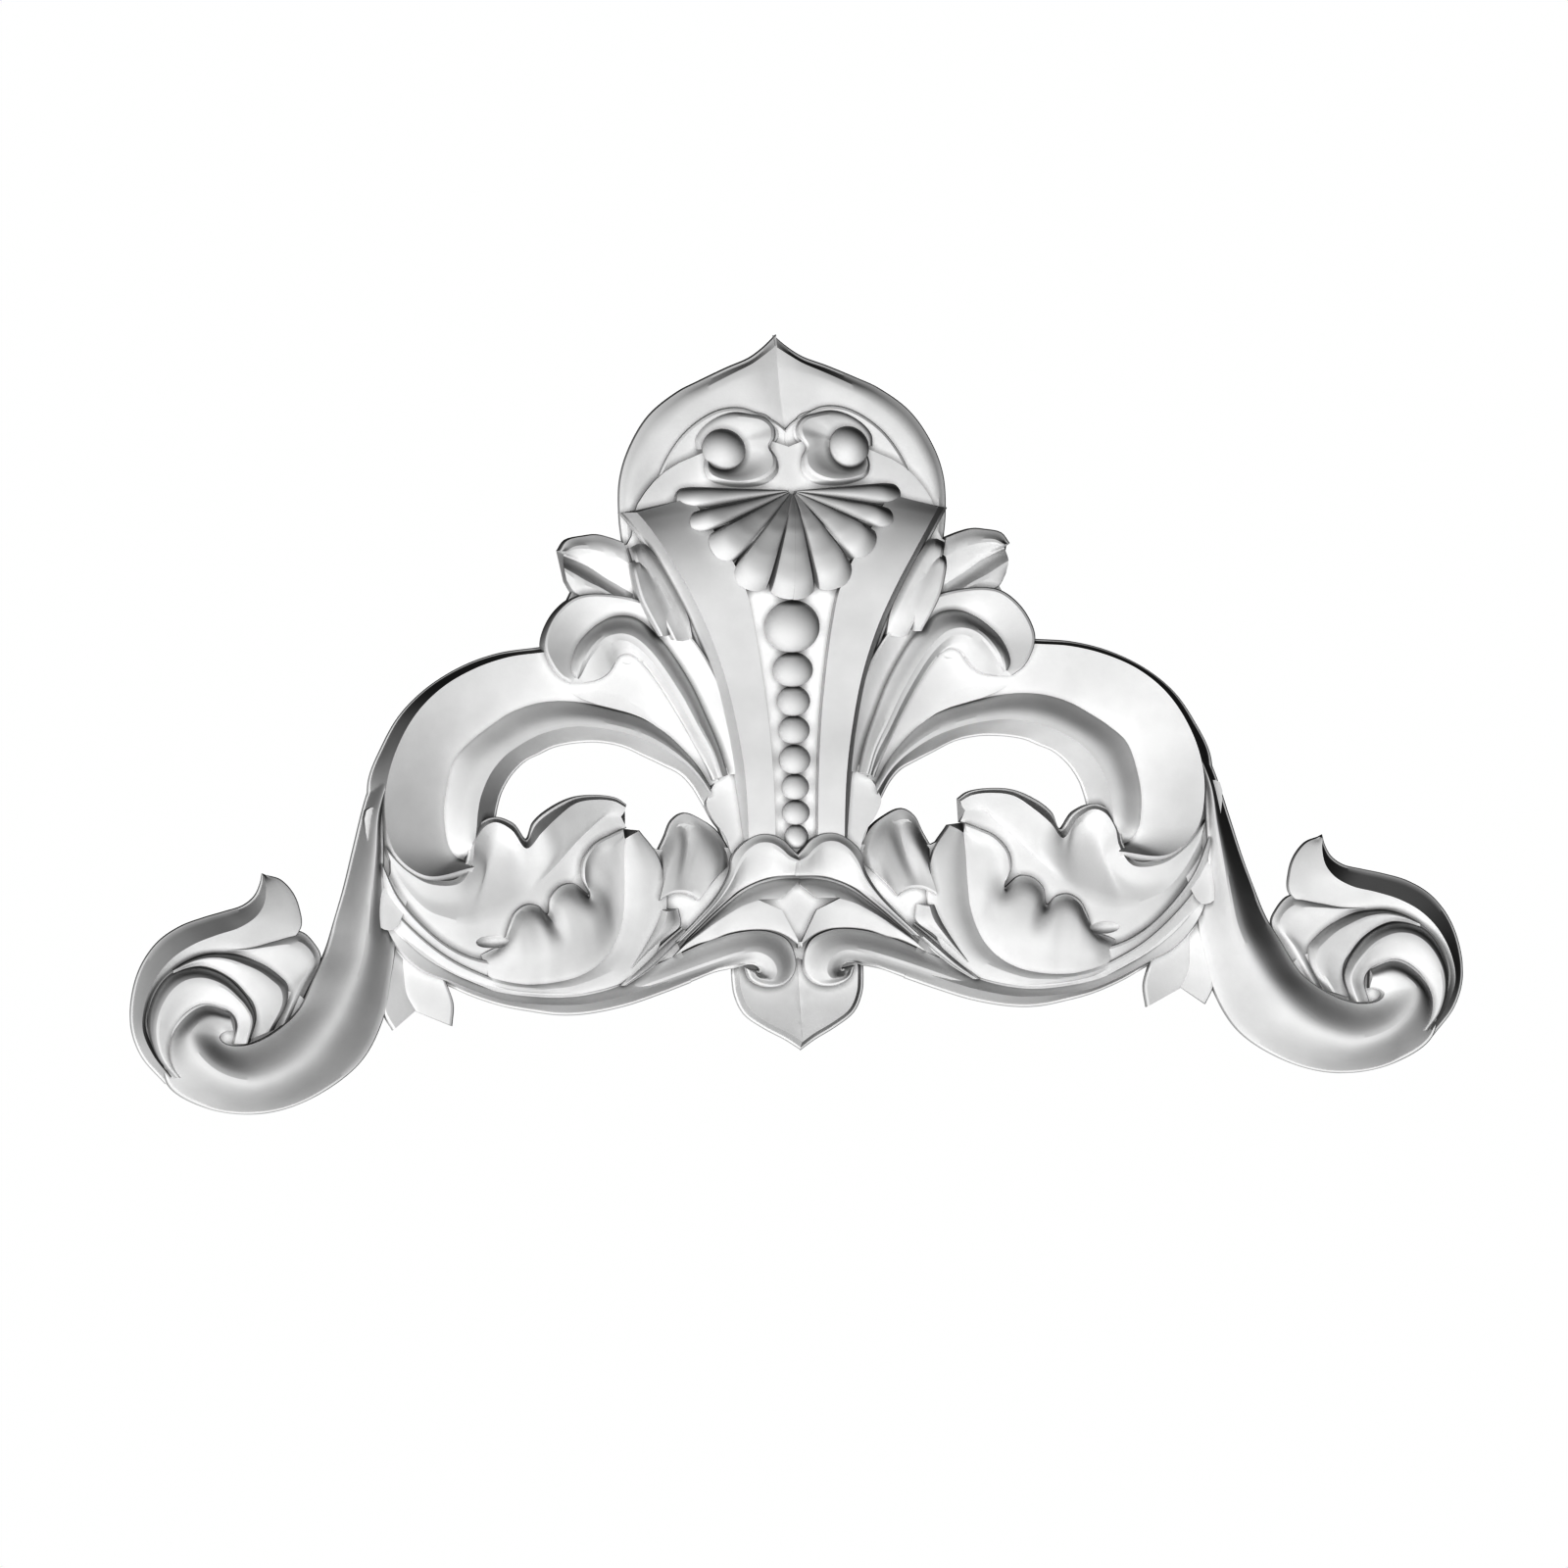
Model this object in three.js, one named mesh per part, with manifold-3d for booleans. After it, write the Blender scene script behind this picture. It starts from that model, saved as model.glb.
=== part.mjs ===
// A carved wall applique: a beaded console between two pierced C scrolls, with a shell, a keel arch
// above, leaf-tailed scrolls at both ends and a pointed drop below. It is carved or cast in one
// piece with a flat back, so it is one solid. Millimetres, +Z up, the face looks along -Y and the
// flat back lies on the plane Y = 0, with the origin at the middle of the outline's height.

import * as THREE from 'three';
import { mergeVertices } from 'three/addons/utils/BufferGeometryUtils.js';
import Module from 'manifold-3d';

// Driving dimensions in millimetres
const PANEL_WIDTH = 600;
const RELIEF_DEPTH = 45.9;
const EDGE_THICKNESS = 2.4;

// The carving is drawn in shares of the panel: across and up in hundredths of the half width,
// and out from the wall in shares of the relief's depth, 15.3 at the shell.
const GRID = PANEL_WIDTH / 200;
const RISE = RELIEF_DEPTH / 15.3;
const EDGE = EDGE_THICKNESS / RISE;
const MIDDLE_UP = 0.2;

// Carved by hand, the right half hangs a little lower between the middle and the end scroll, and
// the shell and petals lean a little to the right.
const HAND_DROP = 0.7;
const DROP_AT = 40;
const DROP_SPREAD = 24;
const HAND_LEAN = 1.3;
const LEAN_AT = 36;
const LEAN_SPREAD = [20, 12];

const wasm = await Module();
wasm.setup();
const { Manifold, Mesh } = wasm;

function place(side, out, up, rise) {
  const drop = side * HAND_DROP * Math.exp(-(((Math.abs(out) - DROP_AT) / DROP_SPREAD) ** 2));
  const lean = HAND_LEAN * Math.exp(-((out / LEAN_SPREAD[0]) ** 2) - ((up - LEAN_AT) / LEAN_SPREAD[1]) ** 2);
  return [(side * out + lean) * GRID, -rise * RISE, (up - drop - MIDDLE_UP) * GRID];
}

// A rail is a smooth line along a form. Its rise is one number, or several spread evenly along it.
function rail(points, rises) {
  const list = [].concat(rises);
  return points.map(([out, up], i) => {
    const at = points.length > 1 ? (i * (list.length - 1)) / (points.length - 1) : 0;
    const low = Math.floor(at);
    const high = Math.min(low + 1, list.length - 1);
    return new THREE.Vector3(out, up, list[low] + (list[high] - list[low]) * (at - low));
  });
}

// A line between two rails, a share of the way across and a lift of the way up.
function between(first, second, share, lift) {
  return first.map((point, i) => {
    const middle = point.clone().lerp(second[i], share);
    middle.z = THREE.MathUtils.lerp(point.z, second[i].z, lift);
    return middle;
  });
}

function smooth(points, perSpan) {
  const curve = new THREE.CatmullRomCurve3(points, false, 'centripetal');
  return curve.getPoints((points.length - 1) * perSpan);
}

function toManifold(positions, index) {
  let geometry = new THREE.BufferGeometry();
  geometry.setAttribute('position', new THREE.Float32BufferAttribute(positions, 3));
  geometry.setIndex(index);
  geometry = mergeVertices(geometry, 1e-3);
  const corners = geometry.index.array;
  const kept = [];
  for (let i = 0; i < corners.length; i += 3) {
    const [a, b, c] = corners.slice(i, i + 3);
    if (a !== b && b !== c && c !== a) kept.push(a, b, c);
  }
  const vertProperties = new Float32Array(geometry.attributes.position.array);
  const solid = new Manifold(new Mesh({ numProp: 3, vertProperties, triVerts: new Uint32Array(kept) }));
  if (solid.volume() >= 0) return solid;
  const turned = [];
  for (let i = 0; i < kept.length; i += 3) turned.push(kept[i], kept[i + 2], kept[i + 1]);
  return new Manifold(new Mesh({ numProp: 3, vertProperties, triVerts: new Uint32Array(turned) }));
}

// A solid whose cross-sections are the rows, each row closed along the flat back.
function lofted(side, rows) {
  const width = rows[0].length;
  const positions = rows.flat().flatMap((p) => place(side, p.x, p.y, p.z));
  const index = [];
  for (let i = 0; i + 1 < rows.length; i += 1) {
    for (let j = 0; j < width; j += 1) {
      const near = i * width;
      const far = near + width;
      const next = (j + 1) % width;
      index.push(near + j, far + j, far + next, near + j, far + next, near + next);
    }
  }
  const end = (rows.length - 1) * width;
  for (let j = 1; j + 1 < width; j += 1) {
    index.push(0, j, j + 1, end, end + j + 1, end + j);
  }
  return toManifold(positions, index);
}

// One carved form: a skin over its rails, closed by walls down to the flat back.
function form(side, rails, perSpan = 1) {
  const lines = rails.map((points) => smooth(points, perSpan));
  return lofted(side, lines[0].map((_, i) => {
    const skin = lines.map((line) => line[i]);
    const first = skin[0];
    const last = skin[skin.length - 1];
    return [new THREE.Vector3(first.x, first.y, 0), ...skin, new THREE.Vector3(last.x, last.y, 0)];
  }));
}

// A plate of one thickness within a smooth outline, from one depth to another.
function plate(side, points, fromRise, toRise) {
  const outline = points.map(([out, up]) => new THREE.Vector2(out, up));
  const body = new THREE.ExtrudeGeometry(new THREE.Shape(outline), {
    depth: toRise - fromRise,
    bevelEnabled: false,
    steps: 1,
  });
  body.translate(0, 0, fromRise);
  return placedGeometry(side, body);
}

// A ball or egg with its three half sizes given in shares of the panel.
function egg(side, [out, up, rise], [halfOut, halfUp, halfRise], around = 10) {
  const body = new THREE.SphereGeometry(1, around, around / 2);
  body.scale(halfOut, halfUp, halfRise);
  body.translate(out, up, rise);
  return placedGeometry(side, body);
}

function placedGeometry(side, body) {
  body.deleteAttribute('normal');
  body.deleteAttribute('uv');
  const merged = mergeVertices(body, 1e-4);
  const source = merged.attributes.position;
  const positions = [];
  for (let i = 0; i < source.count; i += 1) {
    positions.push(...place(side, source.getX(i), source.getY(i), source.getZ(i)));
  }
  return toManifold(positions, Array.from(merged.index.array));
}

// Shell: fluted ribs fan out over the console's rolled top and end in round lobes. The angles are
// the creases between the ribs, from the outer side down past the middle.
const SHELL_CENTRE = [0, 33.5];
const RIB_EDGES = [3.5, -10.5, -25.7, -50.8, -76.2, -103.8];
const RIB_TIPS = [16.8, 15.9, 15, 16.2, 16.3];
const NOTCHES = [14.6, 13.6, 12.6, 12.8, 14.1, 14.1];
const RIB_STATIONS = [0, 0.35, 0.65, 0.82, 0.93, 1];
const RIB_ACROSS = 5;
const SHELL_UP = [13, 19, 24, 27.5, 29.6, 31.3, 32.4, 33.5, 36];
const SHELL_LIE = [12.7, 13.2, 12.9, 11.9, 10.6, 9, 7.8, 6.8, 5.4];
const FLUTE_DEPTH = 1.9;
const RIB_SWELL = [0.5, 2.2];
const TIP_FALL = 2.2;
const FALL_FROM = 0.8;
const SWELL_BY = 0.75;
const FLUTE_BY = 0.6;
const LOBE_POWER = 0.4;
const RIB_LEVEL = 0.75;
const HUB = 0.6;

function shellLie(up) {
  const above = Math.max(SHELL_UP.findIndex((level) => level >= up), 1);
  const share = (up - SHELL_UP[above - 1]) / (SHELL_UP[above] - SHELL_UP[above - 1]);
  return THREE.MathUtils.lerp(SHELL_LIE[above - 1], SHELL_LIE[above], Math.max(share, 0));
}

function shell(side) {
  const rows = [];
  const straightDown = -90.5;
  RIB_TIPS.forEach((tip, number) => {
    const first = RIB_EDGES[number];
    const last = RIB_EDGES[number + 1];
    const middleUp = Math.sin(THREE.MathUtils.degToRad((first + last) / 2));
    for (let k = 0; k < RIB_ACROSS; k += 1) {
      const t = k / RIB_ACROSS;
      const degrees = THREE.MathUtils.lerp(first, last, t);
      if (degrees < straightDown) break;
      const angle = THREE.MathUtils.degToRad(degrees);
      const across = Math.max(1 - (2 * t - 1) ** 2, 0) ** LOBE_POWER;
      const notch = THREE.MathUtils.lerp(NOTCHES[number], NOTCHES[number + 1], t);
      const reach = notch + (tip - notch) * across;
      const skin = RIB_STATIONS.map((share) => {
        const from = Math.max(share * reach, HUB);
        const up = SHELL_CENTRE[1] + Math.sin(angle) * from;
        const level = THREE.MathUtils.lerp(up, SHELL_CENTRE[1] + middleUp * share * tip, RIB_LEVEL);
        const swell = THREE.MathUtils.lerp(RIB_SWELL[0], RIB_SWELL[1], Math.min(share / SWELL_BY, 1));
        const flute = FLUTE_DEPTH * Math.min(share / FLUTE_BY, 1) * (across - 1);
        const fall = TIP_FALL * Math.max((share - FALL_FROM) / (1 - FALL_FROM), 0) ** 2;
        const rise = shellLie(level) + swell + flute - fall;
        return new THREE.Vector3(SHELL_CENTRE[0] + Math.cos(angle) * from, up, rise);
      });
      const near = skin[0];
      const far = skin[skin.length - 1];
      rows.push([new THREE.Vector3(near.x, near.y, 0), ...skin, new THREE.Vector3(far.x, far.y, 0)]);
    }
  });
  return lofted(side, rows);
}

// Console: two pilasters that lean forward to the shell, with a sunk channel of beads between.
const CONSOLE_UP = [30.7, 29.3, 27.3, 24, 19, 13, 6, -1, -9, -22.5];
const CONSOLE_RIDGE = [22.6, 21.6, 20.3, 18.3, 15.5, 12.7, 10.3, 8.75, 7.6, 7.05];
const CONSOLE_INNER = [15, 13.6, 12, 9.5, 7.1, 5.8, 4.75, 3.95, 3.4, 3.1];
const CONSOLE_TILT = [2, 1.5, 0.8, 0, 0, 0, 0, 0, 0, 0];
const CONSOLE_RISE = [8.2, 9.9, 11.5, 12.8, 13.1, 12.2, 11.1, 10.1, 9, 5.6];
const WALL_LEAN = 2;
const WALL_FALL = 5.5;
const INNER_FALL = 3;
const CHANNEL_DEPTH = 2.5;

function consoleLine(across, offset, fall, tilt = 0) {
  return CONSOLE_UP.map((up, i) => (
    new THREE.Vector3(across[i] + offset, up + CONSOLE_TILT[i] * tilt, CONSOLE_RISE[i] - fall)));
}

function pilaster(side) {
  return form(side, [
    consoleLine(CONSOLE_RIDGE, WALL_LEAN, WALL_FALL),
    consoleLine(CONSOLE_RIDGE, 0, 0),
    consoleLine(CONSOLE_INNER, 0, 0, 1),
    consoleLine(CONSOLE_INNER, -0.3, INNER_FALL, 1),
  ], 2);
}

function channel(side) {
  const middle = CONSOLE_UP.map(() => 0);
  return form(side, [
    consoleLine(CONSOLE_INNER, 1, CHANNEL_DEPTH, 1),
    consoleLine(middle, -0.2, CHANNEL_DEPTH),
  ]);
}

// The beads touch one another and shrink evenly down the channel, below a large first one.
const TOP_BEAD = { bottom: 9.45, halfUp: 3.85 };
const BEAD_COUNT = 8;
const BEAD_HALF_UP = 2.55;
const BEAD_LESS = 0.115;
const BEAD_WIDTH = 1.1;
const BEAD_OVERLAP = 1.03;
const BEAD_FLATTENING = 0.85;
const BED_RISE = 8.7;
const BED_SLOPE = 0.15;

function beads() {
  const list = [];
  let { halfUp } = TOP_BEAD;
  let up = TOP_BEAD.bottom + halfUp;
  for (let i = 0; i < BEAD_COUNT; i += 1) {
    if (i > 0) {
      const nextHalf = BEAD_HALF_UP - BEAD_LESS * i;
      up -= halfUp + nextHalf;
      halfUp = nextHalf;
    }
    const halfOut = halfUp * BEAD_WIDTH;
    const bed = BED_RISE + BED_SLOPE * up;
    list.push(egg(1, [0, up, bed], [halfOut, halfUp * BEAD_OVERLAP, halfOut * BEAD_FLATTENING]));
  }
  return list;
}

// Keel arch: a thin band with a valley down its middle; the plate inside it tips down to the
// console.
function arch(side) {
  return [
    form(side, [
      rail([[-0.2, 56.9], [1.8, 55.1], [4, 53.6], [7.5, 52.2], [12, 50.2], [15, 48.75], [19.6, 45.2],
        [22.8, 40.2], [24.3, 35.5], [24.5, 30], [24.1, 26]], [1.3, 1.5, 1.5]),
      rail([[-0.2, 53], [1.6, 52.4], [3.6, 51.6], [6.8, 50.4], [11, 48.4], [13.8, 46.8], [18, 43.2],
        [21, 38.8], [22.4, 34.8], [22.8, 29.6], [22.6, 26]], [2, 2.7, 2.5, 2.2, 1.8]),
      rail([[-0.2, 33], [1, 38], [3, 42], [5.9, 44.5], [9, 44], [11.5, 42.5], [14.5, 40], [17, 36.8],
        [18, 33.5], [18, 29], [18, 25]], [1.6, 2, 2, 1.4, 0.8]),
    ]),
    form(side, [
      rail([[-0.2, 42.6], [1.2, 43.9], [3.5, 45.1], [6, 46.1], [9, 46], [12, 44.7], [15, 42.3],
        [17.5, 38.9], [19.3, 34.8], [20, 31]], [2.6, 3, 3, 2.6, 2]),
      rail([[-0.2, 33], [1, 33], [2, 33], [4, 33], [7, 32.6], [9.4, 32.4], [11.5, 32], [13.5, 31.6],
        [15, 31], [16, 30]], 0.7),
    ]),
  ];
}

// Petal under the arch: a dished lobe that rolls up round a ball.
function petal(side) {
  return [
    form(side, [
      rail([[13, 38.4], [13, 36.6], [12.3, 35], [9.5, 33.8], [6, 33.5], [3, 34.1], [1.2, 35.8], [1.2, 38],
        [2.2, 39.9], [1.1, 41.5], [1.1, 43], [2.4, 44.9], [4.8, 45.7], [7.3, 46.2], [10, 45.6],
        [12.6, 44], [13.8, 42], [13.6, 40]],
        [2.6, 3, 3, 3, 3, 3, 3, 3, 2.6, 2.8, 2.8, 2.6, 2.4, 2.4, 2.2, 2, 2, 2.2]),
      rail([[11.9, 38.4], [12, 37.2], [11.4, 36.1], [9.3, 35.3], [6.4, 35.2], [4, 36], [2.8, 37.2],
        [2.6, 38.7], [3.1, 40.2], [2.5, 41.6], [2.4, 43], [3.4, 44.1], [5.2, 44.6], [7.4, 44.8],
        [9.6, 44.4], [11.6, 43.2], [12.8, 41.6], [12.8, 40]],
        [4.4, 5.2, 5.8, 6, 6, 6, 5.8, 5.4, 5, 5, 4.6, 4.4, 4.2, 3.8, 3.4, 3.2, 3.2, 3.6]),
      rail([[10.9, 38.3], [10.6, 38.0], [9.9, 37.8], [8.9, 37.7], [8.2, 38.1], [7.7, 38.5], [7.3, 39.1],
        [7.2, 39.7], [7.2, 40.3], [7.4, 40.9], [7.6, 41.2], [7.9, 41.5], [8.1, 41.7], [8.5, 41.9],
        [9.2, 42.1], [10.2, 42.0], [11.1, 41.3], [11.6, 40.1]], 3.4),
    ]),
    egg(side, [9.4, 39.9, 3.6], [3.1, 3.1, 3.4]),
  ];
}

// Two stepped panels fill each cheek outside the console, falling towards it.
function cheek(side) {
  return [
    form(side, [
      rail([[23.6, 25.4], [23.2, 24], [22.6, 21.6], [21.4, 18.5], [19.4, 15], [17.6, 11.6]],
        [7.4, 9.4, 9.8, 9.8, 9.6, 9]),
      rail([[22.4, 26], [21.8, 24.8], [20.4, 22.2], [18.9, 19], [17.2, 15.6], [16.2, 11.4]],
        [7, 8.8, 9, 9, 8.8, 8.2]),
      rail([[21, 26], [20.2, 24.8], [18.4, 22.2], [16.6, 18.7], [15, 15], [14.4, 11.8]],
        [6.6, 7.6, 7.8, 7.8, 7.6, 7.2]),
    ]),
    form(side, [
      rail([[23.6, 23.2], [23.5, 22], [23.2, 20.4], [22.5, 17.8], [21.1, 14.9], [19.6, 12.2]],
        [8.8, 10.6, 11, 11, 10.6, 9.6]),
      rail([[22.7, 23.9], [22.4, 22.8], [21.8, 21], [20.5, 18], [19.2, 14.9], [18.6, 12.2]],
        [8.6, 10.2, 10.4, 10.4, 10, 9]),
      rail([[21.7, 23.7], [21, 22.6], [19.9, 20.8], [18.4, 18.2], [17.4, 15.4], [17.5, 12.6]],
        [8, 9, 9.2, 9.2, 9, 8.2]),
    ]),
  ];
}

// Ear leaf: a rounded upper edge, a face that falls to a valley, and a folded edge below it.
function ear(side) {
  return form(side, [
    rail([[33.8, 25.2], [32.6, 26.8], [30, 27.4], [28.3, 27.55], [26.4, 27.1], [24.2, 26.3]], 4.6),
    rail([[32.8, 25], [31.2, 25.4], [29.2, 25.3], [27.4, 24.9], [25.6, 24.3], [23.4, 23]], 5.4),
    rail([[33.1, 24.4], [31.2, 23.6], [29.2, 22.6], [27.2, 21.2], [25.2, 20], [22.9, 18.6]], 3.6),
    rail([[33.3, 22.6], [31.6, 21.6], [30, 20.6], [28, 19.6], [26, 18.4], [23.8, 17]], 6.2),
    rail([[32.9, 20.6], [31.8, 18.8], [30, 18], [28, 17.6], [26, 17], [23.4, 15.8]], 5.8),
  ]);
}

// Fluted band from the hooked lobe over the C scroll, round the cheek and down beside the console.
function flute(side) {
  return form(side, [
    rail([[33.1, 5.4], [34.8, 6.6], [36.1, 8.6], [36.8, 11], [36.2, 13.5], [34.4, 16.3], [31.6, 18.3],
      [27, 18.6], [20.6, 17], [14.9, 12.3], [11.2, 6.6], [9.4, 1.6], [8.2, -3.2], [7.2, -8.4]],
      [7.6, 7.8, 7.8, 7.6, 7.4, 7.2, 7.4, 7.6, 7.6, 7.4, 7.2, 6.8, 6.6, 6.2]),
    rail([[32.4, 6.2], [32.9, 7.2], [32.8, 8.6], [32.3, 10], [31.5, 11.4], [30.2, 12.8], [28.4, 14.2],
      [25.8, 15.3], [22.8, 15], [19.2, 12], [15, 5.6], [12.7, 0.4], [11, -4], [9.7, -8.6]],
      [7.6, 7.4, 7, 6.5, 6, 5.6, 5.3, 5, 4.8, 4.6, 4.4, 4.3, 4.3, 4.3]),
    rail([[31.8, 6], [31.2, 7], [30.6, 8.2], [29.8, 9.4], [28.8, 10.6], [27.8, 11.5], [26.6, 12.1],
      [25, 12.2], [23.4, 11.6], [21, 9.4], [17, 3.4], [14.4, -1.6], [12.4, -5.4], [11.2, -9]],
      [7.4, 7.8, 8.2, 8.6, 8.8, 8.9, 9, 8.8, 8.6, 8.2, 7.8, 7.4, 7, 6.6]),
    rail([[31, 5.4], [30, 5.5], [28.6, 5.9], [27.6, 6.5], [26.9, 7.2], [26.2, 8.3], [25.4, 9.3],
      [24, 9.6], [22.4, 8.6], [20.5, 6.2], [16.9, 0.2], [14.4, -4.6], [12.9, -7.6], [12.2, -9.4]],
      [7.2, 7.4, 7.6, 7.6, 7.6, 7.4, 7.2, 7, 6.6, 6.2, 5.6, 5.4, 5.4, 5.4]),
  ]);
}

// C scroll: outer wall, face falling to a valley, a bevel up to the thin rim and the wall of the
// opening.
function scroll(side) {
  const valley = rail([[49.6, -20.3], [50.6, -19.8], [51.7, -18.2], [52.3, -14], [51.9, -10],
    [50.4, -5.2], [47.8, -2.6], [45, -0.6], [42, 1.2], [38.5, 2.4], [35, 2.8], [31, 2.5], [27, 1.6],
    [22.5, 0.2], [19, -2], [16, -4.9], [14, -7.4], [12.4, -10.2]],
    [2, 2.4, 3, 3.2, 3.2, 3.2, 3.2, 3.2, 3.2, 3.2, 3.2, 3.2, 3.2, 3.4, 3.6, 3.8, 4, 4]);
  const thinRim = rail([[47.9, -17.6], [47.8, -16.6], [47.7, -15.6], [47.4, -13], [46.8, -10.6],
    [45.2, -7.4], [43, -5], [40.5, -3.4], [38, -2.2], [35.5, -1.5], [33, -1.1], [30, -1.2], [26, -1.9],
    [22, -3.2], [19, -4.8], [16, -7], [14.3, -8.8], [12.4, -11.6]], [4.8, 5.8, 6.2, 6.2, 6.2, 6, 5.8]);
  return form(side, [
    rail([[49, -23], [56.5, -23.8], [61.5, -20], [63, -14.5], [63.3, -8], [61, -2.6], [58.2, 1.8],
      [54, 5.6], [48.5, 8.6], [43, 10.25], [37, 10.9], [32, 11.6], [27, 12], [22, 10.4], [17.8, 5.2],
      [14.8, 0], [12.2, -5], [10.5, -9]],
      [4.5, 4.5, 4.5, 2, EDGE, EDGE, EDGE, EDGE, EDGE, EDGE, EDGE, EDGE, EDGE, EDGE, EDGE, EDGE, EDGE,
      EDGE]),
    rail([[48.3, -21.4], [55.5, -22.3], [60, -18.8], [61.4, -13.5], [61, -8], [59, -2.4], [56, 2.2],
      [52, 5.7], [47, 8.2], [42, 9.6], [37, 10.1], [32, 10.6], [27, 10.8], [22.4, 9.2], [18.4, 4.4],
      [15.4, -0.6], [12.8, -5.4], [11.2, -9.4]],
      [6.2, 6.9, 7, 7, 7, 7, 6.8, 6.6, 6.4, 6.2, 5.8, 5.4, 5, 4.8, 4.8, 4.8, 4.8, 4.8]),
    valley,
    between(valley, thinRim, 0.6, 0.9),
    thinRim,
    rail([[44.8, -16.6], [44.6, -15.6], [44.4, -14.6], [43.9, -12.4], [43.2, -10.4], [41.6, -7.9],
      [39.5, -6], [37.3, -5], [35.5, -4.2], [33.2, -3.7], [31, -3.5], [28.6, -3.5], [25, -4.2],
      [21.4, -5.9], [19, -7.1], [16.6, -8.4], [15, -10.1], [13, -13.6]], EDGE),
  ]);
}

// The foot of the opening, where the scroll meets the heart.
function spandrel(side) {
  return plate(side, [[13.1, -12.5], [12.3, -15], [10.4, -17.8], [9.4, -20.5], [6, -16], [7, -10], [9, -7]],
  0, 4.4);
}

// Stem: a convex band that leaves the C scroll, runs out and down and curls inside the tail.
function stem(side) {
  return form(side, [
    rail([[62.3, -6.4], [64, -11], [65.9, -17.6], [67.6, -23.6], [69.2, -28.4], [70.6, -32.4],
      [72.6, -36.4], [75.3, -41.2], [79, -44.2], [82, -45.6], [84.2, -46], [86, -45.8], [87, -45.2],
      [87.2, -44.6], [86.9, -44.2], [86.2, -43.9], [85.2, -43.8]],
      [EDGE, EDGE, EDGE, EDGE, EDGE, 1.6, 3.4, 4.8, 5.8, 6.4, 6.8, 7, 7, 7, 7, 7, 6.6]),
    rail([[60.9, -7.4], [62.6, -12.4], [63.3, -18], [64.1, -23.4], [64.8, -28.6], [65.6, -33.4],
      [67.2, -37.8], [69.8, -42.8], [73.6, -47.6], [78.4, -50.7], [83, -51.8], [88, -50.3], [91.4, -47],
      [92, -44.2], [90.6, -42.4], [88.4, -41.4], [85.6, -42]],
      [6.4, 6.6, 6.8, 7, 7.4, 7.8, 8.2, 8.8, 9.2, 9.6, 9.8, 10, 10, 9.8, 9.4, 8.6, 7.2]),
    rail([[60.3, -9], [61.4, -13], [61.6, -18], [61.7, -23], [61.3, -27.6], [60.2, -31.6], [61, -37.4],
      [62.4, -43.3], [66, -49.5], [73.5, -54.5], [81, -56.4], [89, -55.3], [94.9, -51.5], [95.2, -45.4],
      [92.6, -41.2], [89.4, -39.5], [85.4, -40.5]],
      [5, 5.6, 5.4, 5, 3, 2.4, 2.2, 2, 1.6, EDGE, EDGE, EDGE, 2.4, 4.8, 5.2, 5.2, 5]),
  ], 2);
}

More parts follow.
